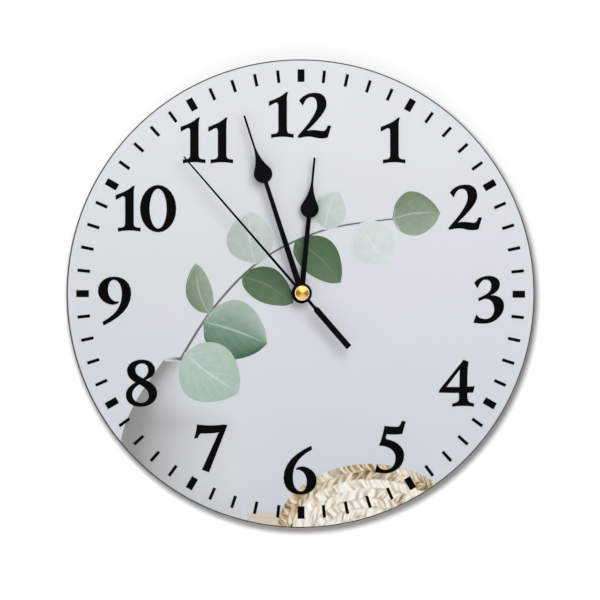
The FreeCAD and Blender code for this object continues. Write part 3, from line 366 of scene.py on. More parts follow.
def backdrop_material():
    recipe = Recipe("print_backdrop")
    radius = recipe.radius()
    rim = recipe.fade(radius, (PRINT_RADIUS - BORDER - 0.1) * MM, (PRINT_RADIUS - BORDER) * MM)
    tone = recipe.mix(rim, backdrop_tone(recipe), seen(70, 70, 72))
    return printed(recipe, tone)


def ink_material():
    recipe = Recipe("print_ink")
    ink = tuple(settings().dial.ink)
    grain = recipe.fade(recipe.noise(2500.0), 0.4, 0.7)
    tone = recipe.mix(grain, ink, lighter(ink, 1.4))
    return printed(recipe, tone)


def rows_of_tone(recipe, along, across, rows):
    """Blends from row to row; each row is (place along, colours spread across)."""
    tone = None
    before = 0.0
    for place, colours in rows:
        stops = [(i / (len(colours) - 1), seen(*colour)) for i, colour in enumerate(colours)]
        band = recipe.ramp(across, stops)
        tone = band if tone is None else recipe.mix(recipe.fade(along, before, place), tone, band)
        before = place
    return tone


# Side veins along a leaf, and how far each runs towards the tip by the leaf's edge.
VEINS = 7.0
VEIN_SLANT = 6.5


def leaf_material(name, rows, rib_tone, vein, soft):
    """A printed leaf: tones across and along, a midrib, slanting veins and a soft edge in mm."""
    recipe = Recipe(name)
    along, across, _ = recipe.axes(recipe.stored("UVMap")["Vector"])
    wander = recipe.times(recipe.minus(recipe.noise(70.0), 0.5), 0.16)
    tone = rows_of_tone(recipe, recipe.plus(along, wander), recipe.plus(across, wander), rows)
    side = recipe.apart(across, 0.5)
    branch = recipe.minus(recipe.times(along, VEINS), recipe.times(side, VEIN_SLANT))
    branch = recipe.plus(branch, recipe.times(wander, 2.0))
    gap = recipe.apart(recipe.math("FRACT", branch), 0.5)
    veins = recipe.times(recipe.fade(gap, 0.0, 0.11, vein, 0.0), recipe.fade(side, 0.5, 0.2))
    stem = recipe.fade(side, 0.006, 0.03, 0.75, 0.0)
    stem = recipe.times(stem, recipe.fade(along, 1.0, 0.6, 0.25, 1.0))
    tone = recipe.mix(recipe.math("MAXIMUM", veins, stem), tone, seen(*rib_tone))
    mottle = recipe.ramp(recipe.noise(260.0, 5.0), [(0.3, (0.9, 0.9, 0.9)), (0.7, (1.0, 1.0, 1.0))])
    tone = recipe.mix(1.0, tone, mottle, "MULTIPLY")
    from_left = recipe.stored("from_left")["Fac"]
    edge = recipe.math("MINIMUM", from_left, recipe.stored("from_right")["Fac"])
    tone = recipe.mix(recipe.fade(edge, 0.0, soft), backdrop_tone(recipe), tone)
    return printed(recipe, tone)


def vase_material():
    """Pale glazed ware, darkest at its left edge."""
    recipe = Recipe("print_vase")
    across = recipe.axes(recipe.stored("UVMap")["Vector"])[1]
    height = recipe.over(recipe.axes()[2], MM)
    turn = recipe.fade(height, -70.0, -44.0, 1.0, 3.4)
    depth = recipe.times(recipe.stored("from_left")["Fac"], turn)
    depth = recipe.over(depth, 60.0)
    tone = recipe.ramp(depth, [
        (0.0, seen(138, 139, 136)), (0.12, seen(144, 145, 142)), (0.2, seen(159, 159, 158)),
        (0.28, seen(172, 172, 173)), (0.37, seen(181, 184, 186)), (0.53, seen(195, 199, 202)),
        (0.7, seen(203, 207, 210)), (1.0, seen(211, 215, 218))])
    near_mouth = recipe.fade(height, -48.0, -38.0, 0.0, 0.8)
    near_mouth = recipe.times(near_mouth, recipe.fade(depth, 0.35, 0.75))
    tone = recipe.mix(near_mouth, tone, seen(218, 221, 226))
    foot = recipe.fade(height, -100.0, -118.0, 0.0, 0.3)
    tone = recipe.mix(foot, tone, seen(180, 182, 187))
    tone = recipe.mix(recipe.times(recipe.noise(40.0), 0.1), tone, seen(186, 190, 192))
    tone = recipe.mix(recipe.fade(across, 0.90, 1.0), tone, backdrop_tone(recipe))
    return printed(recipe, tone)


def lip_material():
    """The soft dark opening of the vase."""
    recipe = Recipe("print_vase_lip")
    along, across, _ = recipe.axes(recipe.stored("UVMap")["Vector"])
    depth = recipe.apart(across, 0.5)
    ends = recipe.times(recipe.fade(along, 0.0, 0.45, 0.15, 1.0), recipe.fade(along, 1.0, 0.9))
    dark = recipe.times(recipe.fade(depth, 0.08, 0.5, 1.0, 0.0), ends)
    around = recipe.mix(across, seen(216, 219, 224), backdrop_tone(recipe))
    tone = recipe.mix(dark, around, seen(92, 96, 97))
    return printed(recipe, tone)


def plank_material():
    recipe = Recipe("print_table")
    grain = recipe.noise(1.0, 4.0, recipe.stretched((60.0, 60.0, 900.0)))
    tone = recipe.mix(grain, seen(219, 209, 199), seen(198, 184, 167))
    edge = recipe.math("MINIMUM", recipe.stored("from_left")["Fac"], 4.0)
    tone = recipe.mix(recipe.fade(edge, 0.0, 3.0), backdrop_tone(recipe), tone)
    return printed(recipe, tone)


def straw_material(name, row_height, strand, length, slant, tones):
    """Plaited straw: rows below the top edge, each of slanting strands; sizes in mm."""
    recipe = Recipe(name)
    along = recipe.axes(recipe.stored("UVMap")["Vector"])[0]
    wander = recipe.minus(recipe.noise(130.0, 4.0), 0.5)
    depth = recipe.math("MULTIPLY_ADD", wander, 3.2, recipe.stored("from_left")["Fac"])
    down = recipe.over(depth, row_height)
    row = recipe.math("FLOOR", down)
    inside = recipe.minus(down, row)
    lean = recipe.math("MULTIPLY_ADD", recipe.math("PINGPONG", row, 1.0), 2.0, -1.0)
    bow = recipe.times(recipe.times(inside, slant), lean)
    place = recipe.math("MULTIPLY_ADD", along, length / strand, bow)
    place = recipe.math("MULTIPLY_ADD", wander, 1.4, place)
    layer = recipe.math("MULTIPLY_ADD", row, 9.3, recipe.times(inside, 0.55))
    key = recipe.node("ShaderNodeCombineXYZ", {0: place, 1: layer}).outputs[0]
    tone = recipe.ramp(recipe.noise(1.0, 5.0, key), [
        (place_on_ramp, seen(*colour)) for place_on_ramp, colour in tones])
    seam = recipe.apart(inside, 0.5)
    patchy = recipe.fade(recipe.noise(110.0, 3.0), 0.4, 0.62, 0.05, 0.6)
    hollow = recipe.times(recipe.fade(seam, 0.26, 0.5), patchy)
    tone = recipe.mix(hollow, tone, seen(*tones[0][1]))
    wash = recipe.fade(recipe.noise(45.0, 2.0), 0.42, 0.62, 0.0, 0.35)
    tone = recipe.mix(wash, tone, seen(*tones[-1][1]))
    return printed(recipe, tone)


# ---------------------------------------------------------------- making pieces

def add_piece(name, mesh, body, material=None, replaces=()):
    """Puts a finished mesh in the scene as a piece of the clock."""
    piece = bpy.data.objects.new(name, mesh)
    bpy.context.scene.collection.objects.link(piece)
    if material:
        mesh.materials.clear()
        mesh.materials.append(material)
    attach(piece, body)
    if replaces:
        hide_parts(*replaces)
    return piece


def baked(source, name):
    """The evaluated shape of an object as a plain mesh; the object is removed."""
    bpy.context.view_layer.update()
    graph = bpy.context.evaluated_depsgraph_get()
    mesh = bpy.data.meshes.new_from_object(source.evaluated_get(graph))
    mesh.name = name
    data = source.data
    bpy.data.objects.remove(source)
    if isinstance(data, bpy.types.Mesh):
        bpy.data.meshes.remove(data)
    else:
        bpy.data.curves.remove(data)
    return mesh


def smooth_line(points, steps):
    """Evenly spaced points on a smooth line through a few points in millimetres."""
    knots = [Vector(point) for point in points]
    knots = [knots[0]] + knots + [knots[-1]]
    line = [knots[1]]
    for before, start, end, after in zip(knots, knots[1:], knots[2:], knots[3:]):
        line += interpolate_bezier(start.to_3d(), start.to_3d() + (end - before).to_3d() / 6,
                                   end.to_3d() - (after - start).to_3d() / 6, end.to_3d(), 9)[1:]
    line = [point.to_2d() for point in line]
    reach = [0.0]
    for start, end in zip(line, line[1:]):
        reach.append(reach[-1] + (end - start).length)
    spread = []
    index = 0
    for step in range(steps + 1):
        goal = reach[-1] * step / steps
        while index < len(reach) - 2 and reach[index + 1] < goal:
            index += 1
        span = reach[index + 1] - reach[index]
        share = (goal - reach[index]) / span if span else 0.0
        spread.append(line[index].lerp(line[index + 1], min(share, 1.0)))
    return spread


def on_dial(point):
    """A point of the picture on the dial, brought back to the border if it lies outside."""
    point = point + PICTURE_SHIFT
    limit = PRINT_RADIUS - BORDER
    return point * (limit / point.length) if point.length > limit else point


def nearest(point, line):
    return min((point - other).length for other in line)


def make_patch(name, left, right, layer, material, steps=44, columns=12):
    """A flat printed shape between a left and a right edge, layer millimetres above the face."""
    first, second = smooth_line(left, steps), smooth_line(right, steps)
    work = bmesh.new()
    uv = work.loops.layers.uv.new("UVMap")
    work.verts.layers.float.new("from_left")
    work.verts.layers.float.new("from_right")
    from_left = work.verts.layers.float["from_left"]
    from_right = work.verts.layers.float["from_right"]
    grid = []
    for start, end in zip(first, second):
        row = [on_dial(start.lerp(end, column / columns)) for column in range(columns + 1)]
        grid.append([(point, work.verts.new((point.x * MM, PRINT_FACE - layer * MM,
                                             point.y * MM))) for point in row])
    for row in grid:
        for point, vertex in row:
            vertex[from_left] = nearest(point, first)
            vertex[from_right] = nearest(point, second)
    for i in range(steps):
        for j in range(columns):
            corners = ((i, j), (i, j + 1), (i + 1, j + 1), (i + 1, j))
            face = work.faces.new([grid[a][b][1] for a, b in corners])
            for loop, (a, b) in zip(face.loops, corners):
                loop[uv].uv = (a / steps, b / columns)
    bmesh.ops.remove_doubles(work, verts=work.verts, dist=0.01 * MM)
    bmesh.ops.dissolve_degenerate(work, edges=work.edges, dist=0.01 * MM)
    work.normal_update()
    towards_wall = [face for face in work.faces if face.normal.y > 0]
    bmesh.ops.reverse_faces(work, faces=towards_wall)
    mesh = bpy.data.meshes.new(name)
    work.to_mesh(mesh)
    work.free()
    return add_piece(name, mesh, "clock", material)


def make_ribbon(name, middle, half_widths, layer, material):
    """A printed line whose half width changes evenly from its start to its end."""
    line = smooth_line(middle, 24)
    left, right = [], []
    for index, point in enumerate(line):
        before, after = line[max(index - 1, 0)], line[min(index + 1, len(line) - 1)]
        across = (after - before).orthogonal().normalized()
        share = index / (len(line) - 1)
        half = half_widths[0] + (half_widths[1] - half_widths[0]) * share
        left.append(point + across * half)
        right.append(point - across * half)
    return make_patch(name, left, right, layer, material, steps=30, columns=2)


# ---------------------------------------------------------------- outlines of the picture

# Heights above the print's face, in millimetres, from the back of the picture to its front.
LAYERS = {"table": 0.02, "vase": 0.03, "lip": 0.035, "twig": 0.04, "leaves": 0.06,
          "straw": 0.10, "straw crown": 0.11, "ink": 0.15}
LAYER_STEP = 0.002

# The twig's own line, from the vase to its last leaf.
TWIG = [(-64, -36), (-46, -8), (-20, 18), (14, 34), (52, 40)]
TWIG_STEPS = 60

# Each leaf: share of the twig, side, lean in degrees, length, width and bow in mm, tones.
LEAVES = [
    (1.00, 1, 0, 26, 24, 1.5, "mid"), (0.86, -1, 62, 27, 24, -1.5, "ghost"),
    (0.74, 1, 58, 22, 19, 1.0, "pale"), (0.62, -1, 66, 33, 21, 2.5, "dark"),
    (0.45, 1, 60, 29, 25, 1.5, "pale"), (0.38, -1, 70, 31, 19, 2.0, "dark"),
    (0.20, 1, 52, 28, 14, 2.0, "mid"), (0.16, -1, 74, 36, 32, 1.0, "deep"),
    (0.04, -1, 96, 36, 33, -1.0, "front"),
]

LEAF_TONES = {
    "dark": {"rows": [(0.0, [(80, 106, 76), (86, 112, 82), (92, 118, 88)]),
                      (1.0, [(84, 108, 80), (96, 120, 92), (104, 126, 100)])],
             "rib_tone": (118, 138, 114), "vein": 0.15, "soft": 0.3},
    "deep": {"rows": [(0.0, [(170, 188, 176), (130, 156, 138), (96, 126, 102)]),
                      (1.0, [(176, 194, 182), (120, 150, 130), (60, 94, 68)])],
             "rib_tone": (186, 202, 190), "vein": 0.14, "soft": 0.4},
    "mid": {"rows": [(0.0, [(114, 134, 108), (136, 154, 132), (150, 166, 148)]),
                     (1.0, [(118, 138, 112), (138, 156, 134), (156, 172, 156)])],
            "rib_tone": (182, 196, 182), "vein": 0.2, "soft": 0.5},
    "pale": {"rows": [(0.0, [(168, 184, 172), (186, 200, 192), (194, 206, 200)]),
                      (1.0, [(188, 202, 194), (202, 214, 208), (204, 213, 212)])],
             "rib_tone": (214, 224, 218), "vein": 0.2, "soft": 1.0},
    "ghost": {"rows": [(0.0, [(210, 219, 216), (213, 222, 219), (206, 216, 213)]),
                       (1.0, [(213, 221, 220), (214, 222, 221), (205, 215, 213)])],
              "rib_tone": (226, 232, 231), "vein": 0.35, "soft": 1.4},
    "front": {"rows": [(0.0, [(184, 201, 190), (182, 200, 189), (174, 195, 183)]),
                       (1.0, [(174, 195, 182), (170, 193, 180), (166, 190, 176)])],
              "rib_tone": (208, 221, 212), "vein": 0.33, "soft": 0.35},
}

# The vase: its middle, its top and foot, and half its width at the mouth and at the belly.
VASE_MIDDLE = -62.0
VASE_TOP = -35.0
VASE_FOOT = -128.0
MOUTH_HALF = 10.0
BELLY_HALF = 34.0
SHOULDER_TURN = 1.8  # how soon the vase is at its full width

# The straw: the middle and the reach of its half ellipse, and the width of its outer band.
STRAW_MIDDLE = Vector((38.0, -127.0))
STRAW_REACH = Vector((50.0, 36.0))
BAND_WIDTH = 8.0

# The table's edge beside the vase.
TABLE_TOP = [(-28, -115), (-7, -115)]
TABLE_FOOT = [(-28, -125), (-7, -125)]


WIDEST = 0.85  # below 1 brings a leaf's widest part nearer its stem
BLUNTNESS = 0.7  # below 1 makes a leaf's ends rounder


def leaf_sides(stem, heading, length, width, bow):
    """The two edges of a plain oval leaf, from its stem to its tip, in millimetres."""
    along = Vector((math.cos(heading), math.sin(heading)))
    across = along.orthogonal()
    sides = ([], [])
    for step in range(13):
        share = step / 12
        swell = math.sin(math.pi * share ** WIDEST)
        spine = stem + along * length * share + across * bow * swell
        sides[0].append(spine + across * width / 2 * swell ** BLUNTNESS)
        sides[1].append(spine - across * width / 2 * swell ** BLUNTNESS)
    return sides


def vase_side(side):
    """One edge of a plain round-shouldered vase, from its mouth down; side is -1 or 1."""
    points = []
    for step in range(9):
        share = step / 8
        turn = math.pi / 2 * min(1, share * SHOULDER_TURN)
        half = MOUTH_HALF + (BELLY_HALF - MOUTH_HALF) * math.sin(turn)
        points.append((VASE_MIDDLE + side * half, VASE_TOP + (VASE_FOOT - VASE_TOP) * share))
    return points


def straw_arch(inset):
    """The top edge of the straw, a half ellipse, drawn in from the outside by inset."""
    reach = STRAW_REACH - Vector((inset, inset))
    angles = [math.pi * step / 16 for step in range(17)]
    return [STRAW_MIDDLE + Vector((-reach.x * math.cos(turn), reach.y * math.sin(turn)))
            for turn in angles]


CREAM_STRAW = [(0.31, (140, 116, 86)), (0.39, (192, 172, 145)), (0.46, (224, 212, 194)),
               (0.55, (243, 238, 227)), (0.68, (250, 247, 240))]
TAN_STRAW = [(0.34, (92, 70, 44)), (0.43, (146, 121, 86)), (0.5, (192, 170, 136)),
             (0.58, (226, 214, 192)), (0.7, (240, 233, 218))]

# Numerals are drawn on a height of 100, from the foot up. M moves, L draws a straight line,
# C a curve through two handles, and Z closes a contour.
GLYPHS = {
    "0": "M-.1 50 C-.1 21.6 17.4 -1.4 39 -1.4 C60.6 -1.4 78.1 21.6 78.1 50 "
         "C78.1 78.4 60.6 101.4 39 101.4 C17.4 101.4 -.1 78.4 -.1 50 Z "
         "M19 50 C19 75 28 95.2 39 95.2 C50 95.2 59 75 59 50 C59 25 50 4.8 39 4.8 "
         "C28 4.8 19 25 19 50 Z",
    "1": "M41 100 C39.5 96 38.5 90 38.5 84 L38.5 18 C38.5 9 43 7 53.5 6.8 L53.5 .3 "
         "C38 3.5 20 3.5 5.5 0 L5.5 6.5 C17 6.8 21.6 9 21.6 18 L21.6 70 "
         "C21.6 77 18.5 79.5 13 77.5 L.5 70.5 L.5 79 C17 85 30 91 36 98 Z",
    "2": "M3.4 81.6 C10.7 91.4 22 98.2 38 98.2 C53.9 98.2 62.3 89.1 62.3 74.3 "
         "C62.3 60.7 49.3 44.8 17.5 13 C28.9 17.5 40.2 15.2 53.9 13.4 "
         "C60.7 13.4 64.1 17.5 66.4 25.5 L72.5 25.5 L65.2 1.1 C56.1 -2.3 44.8 -1.4 35.7 1.6 "
         "C24.3 4.3 13 3.2 2 -.7 L0 2.7 C32.3 38 43 58.4 43 69.8 C43 83.4 39.1 90.2 31.1 90.7 "
         "C22 91.4 14.1 84.5 10.7 72 Z",
    "3": "M2.1 88.7 L7.1 75.9 C13.5 92.9 20.6 96.5 25.9 96.5 C36.5 96.5 40.1 89.4 39.4 80.5 "
         "C39.4 69.9 33 62.8 11 53.9 L11 48.2 C20.6 53.9 25.9 54.6 31.2 53.2 "
         "C41.8 50.4 46.1 39.7 46.1 29.1 C46.1 14.9 34.8 6 24.1 7.1 C13.5 7.8 8.2 11.3 5.7 16.7 "
         "L0 .7 C15.2 -1.8 33 -3.5 47.2 6 C59.6 14.9 66 25.5 66 37.9 C66 52.1 54.3 61 34.8 59.9 "
         "C50.7 68.1 56.7 75.2 56.7 85.8 C56.7 96.5 45.4 102.8 33 102.8 "
         "C20.6 102.8 8.2 96.5 2.1 88.7 Z",
    "4": "M54.6 100 L64.5 95.7 C61.7 84 61.7 66.3 61.7 40.8 L72.3 40.8 L77.7 41.5 L74.5 28.4 "
         "L61.7 28.4 L61.7 18.4 C62.4 7.8 66.3 5 76.2 3.9 L76.2 -1.8 C64.5 .4 43.3 .4 30.1 -1.8 "
         "L30.1 3.5 C40.4 5 44.7 7.8 45.4 16.7 L44.7 28.4 L0 29.1 L1.8 34.4 Z "
         "M14.2 39.7 L46.8 82.3 L46.1 39.7 Z",
    "5": "M60.2 112.6 L66.9 111.5 L59.8 85.7 C51 83.6 34 84 24.8 85 L22.7 75.8 "
         "C22.7 73 26.9 71.2 32.6 70.1 C51 65.9 63.7 51.7 63.7 37.5 C63.7 14.9 45.3 -1.4 22.7 -1.8 "
         "C14.2 -1.8 7.1 -.4 .7 .7 L4.2 14.9 C8.5 8.5 15.6 4.2 22.7 4.2 "
         "C38.2 4.2 46.5 17.7 46.5 31.9 C46.5 48.9 31.2 58.8 9.9 59.8 C14.9 70.1 19.1 87.1 22 101.6 "
         "C29.7 99.6 41.1 99.6 49.6 99.6 C54.5 99.6 58.1 106.2 60.2 112.6 Z",
    "6": "M59.6 105.3 L61 98.6 C35.5 85.1 19.5 67.4 18.4 39 C17.7 17.7 26.6 4.6 37.2 4.6 "
         "C46.1 4.6 51.4 14.2 51.4 27.7 C51.4 40.8 44.3 50.4 35.5 53.9 "
         "C32.6 54.6 30.1 54.6 27.7 53.9 L28.4 56.7 C33.7 59.6 40.8 60.3 46.1 58.9 "
         "C62.1 55 71.3 42.6 71.3 30.1 C71.3 12.4 56.7 -.7 37.2 -.7 C16 -.7 0 12.4 0 35.5 "
         "C0 67.4 24.8 88.7 59.6 105.3 Z",
    "7": "M6.3 100.6 C24.7 97.6 45.5 97.6 63.4 100.6 L71.4 99.4 L31.3 -3 L17.6 2.1 L55.4 85.4 "
         "C42.6 82.4 24.7 82.4 14.3 82.4 C9.8 81 7.4 76.5 5.4 70.5 L0 71.4 "
         "C3.3 81 5.4 91.4 6.3 100.6 Z",
    "8": "M35.1 100.6 C51.5 100.6 62.5 90.5 62.5 78.6 C62.5 67.3 53 61.3 41.1 56.8 "
         "C56 49.4 67.3 40.5 67.3 27.1 C67.3 9.2 50 -1.8 32.1 -1.8 C12.8 -1.8 0 7.7 0 22.6 "
         "C0 36 8.3 43.5 21.7 50.9 C9.8 58.3 2.4 65.8 2.4 77.7 C2.4 91.1 17.3 100.6 35.1 100.6 Z "
         "M35.1 94 C44 94 49.4 87.5 49.4 78.6 C49.4 68.8 44 63.7 37.5 58.9 "
         "C26.2 64.3 19 68.8 19 79.2 C19 88.1 26.2 94 35.1 94 Z "
         "M29.2 47.9 C41.1 40.5 50.6 34.5 50.6 22 C50.6 11.3 42.6 4.8 32.7 4.8 "
         "C20.8 4.8 11.9 13.1 11.9 24.1 C11.9 34.5 18.8 42 29.2 47.9 Z",
}
GLYPH_GRID = 100.0

# Hour: (middle across, middle up, gap between its two digits), in millimetres.
HOUR_PLACES = {
    "12": (-0.5, 95.2, 2.0), "1": (49.2, 81.8, 0), "2": (87.8, 46.1, 0), "3": (100.4, -3.2, 0),
    "4": (83.2, -47.8, 0), "5": (47.7, -81.9, 0), "6": (-0.5, -94.2, 0), "7": (-48.2, -82.6, 0),
    "8": (-85.1, -47.9, 0), "9": (-99.5, -4.2, 0), "10": (-82.8, 45.1, -0.3),
    "11": (-50.3, 81.6, 1.5),
}
STROKE_GROWTH = 0.26  # how far the ink spreads past each outline, in millimetres
RING_SHIFT = Vector((0.0, 0.0, -0.25)) * MM  # the ring is printed a little low


def glyph_mesh(digit):
    """One digit as a flat mesh in the XZ plane, facing the viewer, on the grid of 100."""
    path = GLYPHS["6" if digit == "9" else digit]
    curve = bpy.data.curves.new("digit", "CURVE")
    curve.dimensions = "2D"
    curve.fill_mode = "BOTH"
    curve.resolution_u = 6
    for contour in path.split("Z")[:-1]:
        knots = []  # each is [handle before, point, handle after]
        for command, numbers in re.findall(r"([MLC])([^MLC]*)", contour):
            values = [float(value) for value in numbers.split()]
            points = [Vector((a, b, 0.0)) for a, b in zip(values[::2], values[1::2])]
            if command == "C":
                knots[-1][2] = points[0]
                knots.append([points[1], points[2], points[2]])
            else:
                knots.append([points[0], points[0], points[0]])
        if (knots[0][1] - knots[-1][1]).length < 0.01:
            knots[0][0] = knots.pop()[0]
        spline = curve.splines.new("BEZIER")
        spline.bezier_points.add(len(knots) - 1)
        spline.use_cyclic_u = True
        for made, (before, point, after) in zip(spline.bezier_points, knots):
            made.handle_left_type = made.handle_right_type = "FREE"
            made.co = point
            made.handle_left = before
            made.handle_right = after
    holder = bpy.data.objects.new("digit", curve)
    bpy.context.scene.collection.objects.link(holder)
    mesh = baked(holder, "digit")
    turn = Matrix.Rotation(math.pi, 4, "Z") if digit == "9" else Matrix.Identity(4)
    mesh.transform(Matrix.Rotation(math.pi / 2, 4, "X") @ turn)
    return mesh


def face_viewer(mesh):
    """Turns every face of a flat mesh to the viewer."""
    work = bmesh.new()
    work.from_mesh(mesh)
    bmesh.ops.remove_doubles(work, verts=work.verts, dist=0.001 * MM)
    work.normal_update()
    bmesh.ops.reverse_faces(work, faces=[face for face in work.faces if face.normal.y > 0])
    work.to_mesh(mesh)
    work.free()


def spread_ink(mesh, amount):
    """Moves the outline of a flat mesh outwards by a small amount."""
    work = bmesh.new()
    work.from_mesh(mesh)
    bmesh.ops.remove_doubles(work, verts=work.verts, dist=0.001 * MM)
    moves = {}
    for edge in work.edges:
        if not edge.is_boundary:
            continue
        start, end = edge.verts
        along = (end.co - start.co).normalized()
        third = next(vertex for vertex in edge.link_faces[0].verts if vertex not in edge.verts)
        inwards = third.co - start.co
        outwards = -(inwards - along * inwards.dot(along)).normalized()
        for vertex in edge.verts:
            moves.setdefault(vertex, []).append(outwards)
    for vertex, sides in moves.items():
        middle = sum(sides, Vector()).normalized()
        vertex.co += middle * amount / max(middle.dot(sides[0]), 0.6)
    work.to_mesh(mesh)
    work.free()


def join(meshes, name):
    work = bmesh.new()
    for mesh in meshes:
        work.from_mesh(mesh)
        bpy.data.meshes.remove(mesh)
    joined = bpy.data.meshes.new(name)
    work.to_mesh(joined)
    work.free()
    return joined


def span(mesh, axis):
    values = [vertex.co[axis] for vertex in mesh.vertices]
    return min(values), max(values)


# ---------------------------------------------------------------- node trees

def new_tree(name, sizes, whole=()):
    """A geometry node tree with named number inputs and a material, and its first nodes."""
    tree = bpy.data.node_groups.new(name, "GeometryNodeTree")
    tree.is_modifier = True
    for size in sizes:
        kind = "NodeSocketInt" if size in whole else "NodeSocketFloat"
        tree.interface.new_socket(size, in_out="INPUT", socket_type=kind)
    tree.interface.new_socket("Material", in_out="INPUT", socket_type="NodeSocketMaterial")
    tree.interface.new_socket("Geometry", in_out="OUTPUT", socket_type="NodeSocketGeometry")
    return tree, tree.nodes.new("NodeGroupInput"), tree.nodes.new("NodeGroupOutput")


def geometry_node(tree, kind, inputs=None, **choices):
    made = tree.nodes.new(kind)
    for name, value in choices.items():
        setattr(made, name, value)
    for key, value in (inputs or {}).items():
        if isinstance(value, bpy.types.NodeSocket):
            tree.links.new(value, made.inputs[key])
        else:
            made.inputs[key].default_value = value
    return made


def tree_math(tree, operation, *values):
    inputs = dict(enumerate(values))
    return geometry_node(tree, "ShaderNodeMath", inputs, operation=operation).outputs[0]


def close_tree(tree, given, output, geometry):
    """Real geometry with the material on it, as the tree's result."""
    real = geometry_node(tree, "GeometryNodeRealizeInstances", {"Geometry": geometry})
    painted = geometry_node(tree, "GeometryNodeSetMaterial", {
        "Geometry": real.outputs[0], "Material": given.outputs["Material"]})
    tree.links.new(painted.outputs[0], output.inputs["Geometry"])


def grown(tree, name, values):
    """The result of a tree with these inputs, as a plain mesh."""
    holder = bpy.data.objects.new(name, bpy.data.meshes.new(name))
    bpy.context.scene.collection.objects.link(holder)
    modifier = holder.modifiers.new(name, "NODES")
    modifier.node_group = tree
    sockets = {item.name: item.identifier for item in tree.interface.items_tree
               if item.in_out == "INPUT"}
    for key, value in values.items():
        modifier[sockets[key]] = value
    return baked(holder, name)


def tick_tree():
    """Sixty flat bars on a circle; every fifth is an hour bar."""
    sizes = ["Radius", "Length", "Minute Width", "Hour Width", "Count"]
    tree, given, output = new_tree("tick_ring", sizes, whole=["Count"])
    circle = geometry_node(tree, "GeometryNodeMeshCircle", {
        "Vertices": given.outputs["Count"], "Radius": given.outputs["Radius"]})
    index = geometry_node(tree, "GeometryNodeInputIndex").outputs[0]
    fifth = tree_math(tree, "MODULO", index, 5.0)
    is_hour = tree_math(tree, "LESS_THAN", fifth, 0.5)
    width = geometry_node(tree, "ShaderNodeMix", {
        0: is_hour, 2: given.outputs["Minute Width"], 3: given.outputs["Hour Width"]})
    angle = tree_math(tree, "MULTIPLY_ADD",  index, 2 * math.pi / 60, -math.pi / 2)
    turn = geometry_node(tree, "ShaderNodeCombineXYZ", {2: angle})
    size = geometry_node(tree, "ShaderNodeCombineXYZ", {
        0: width.outputs[0], 1: given.outputs["Length"], 2: 1.0})
    bar = geometry_node(tree, "GeometryNodeMeshGrid", {
        "Size X": 1.0, "Size Y": 1.0, "Vertices X": 2, "Vertices Y": 2})
    bars = geometry_node(tree, "GeometryNodeInstanceOnPoints", {
        "Points": circle.outputs[0], "Instance": bar.outputs[0],
        "Rotation": turn.outputs[0], "Scale": size.outputs[0]})
    upright = geometry_node(tree, "GeometryNodeTransform", {
        "Geometry": bars.outputs[0], "Rotation": (math.pi / 2, 0.0, 0.0)})
    close_tree(tree, given, output, upright.outputs[0])
    return tree


def winding_tree():
    """Rings of wire side by side along X."""
    tree, given, output = new_tree("wire_turns", ["Length", "Radius", "Wire", "Turns"], ["Turns"])
    half = tree_math(tree, "MULTIPLY",  given.outputs["Wire"], 0.5)
    run = tree_math(tree, "SUBTRACT",  given.outputs["Length"], given.outputs["Wire"])
    start = tree_math(tree, "MULTIPLY", run, -0.5)
    first = geometry_node(tree, "ShaderNodeCombineXYZ", {0: start}).outputs[0]
    end = tree_math(tree, "MULTIPLY", run, 0.5)
    last = geometry_node(tree, "ShaderNodeCombineXYZ", {0: end}).outputs[0]
    places = geometry_node(tree, "GeometryNodeMeshLine", {
        "Count": given.outputs["Turns"], "Start Location": first, "Offset": last},
        mode="END_POINTS")
    middle = tree_math(tree, "SUBTRACT",  given.outputs["Radius"], half)
    ring = geometry_node(tree, "GeometryNodeCurvePrimitiveCircle", {
        "Resolution": 40, "Radius": middle})
    thread = geometry_node(tree, "GeometryNodeCurvePrimitiveCircle", {
        "Resolution": 8, "Radius": half})
    turn = geometry_node(tree, "GeometryNodeCurveToMesh", {
        "Curve": ring.outputs[0], "Profile Curve": thread.outputs[0]})
    turns = geometry_node(tree, "GeometryNodeInstanceOnPoints", {
        "Points": places.outputs[0], "Instance": turn.outputs[0],
        "Rotation": (0.0, math.pi / 2, 0.0)})
    close_tree(tree, given, output, turns.outputs[0])
    return tree


# ---------------------------------------------------------------- copies with softened edges

def softened(node, width, segments=2, angle=32.0):
    """A copy of a CAD piece with its sharp edges rounded, as a plain mesh."""
    work = bmesh.new()
    work.from_mesh(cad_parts[node].data)
    bmesh.ops.remove_doubles(work, verts=work.verts, dist=0.002 * MM)
    bmesh.ops.dissolve_limit(work, angle_limit=math.radians(0.8), verts=work.verts,
                             edges=work.edges)
    bmesh.ops.recalc_face_normals(work, faces=work.faces)
    mesh = bpy.data.meshes.new(node + "_soft")
    work.to_mesh(mesh)
    work.free()
    smooth_faces(mesh, angle)
    holder = bpy.data.objects.new(node + "_soft", mesh)
    bpy.context.scene.collection.objects.link(holder)
    bevel = holder.modifiers.new("edges", "BEVEL")
    bevel.width = width
    bevel.segments = segments
    bevel.limit_method = "ANGLE"
    bevel.angle_limit = math.radians(angle)
    bevel.use_clamp_overlap = True
    bevel.harden_normals = True
    return baked(holder, node + "_finished")


def smooth_faces(mesh, angle=35.0):
    mesh.polygons.foreach_set("use_smooth", [True] * len(mesh.polygons))
    mesh.set_sharp_from_angle(angle=math.radians(angle))


def replace_softened(nodes, body, width, material):
    for node in nodes:
        add_piece(node + "_finished", softened(node, width), body, material, [node])


def paint_nodes(nodes, material):
    """Gives CAD pieces whose shape is right a finish of their own."""
    for node in nodes:
        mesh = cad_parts[node].data
        mesh.materials.clear()
        mesh.materials.append(material)


# ---------------------------------------------------------------- materials of the solid pieces

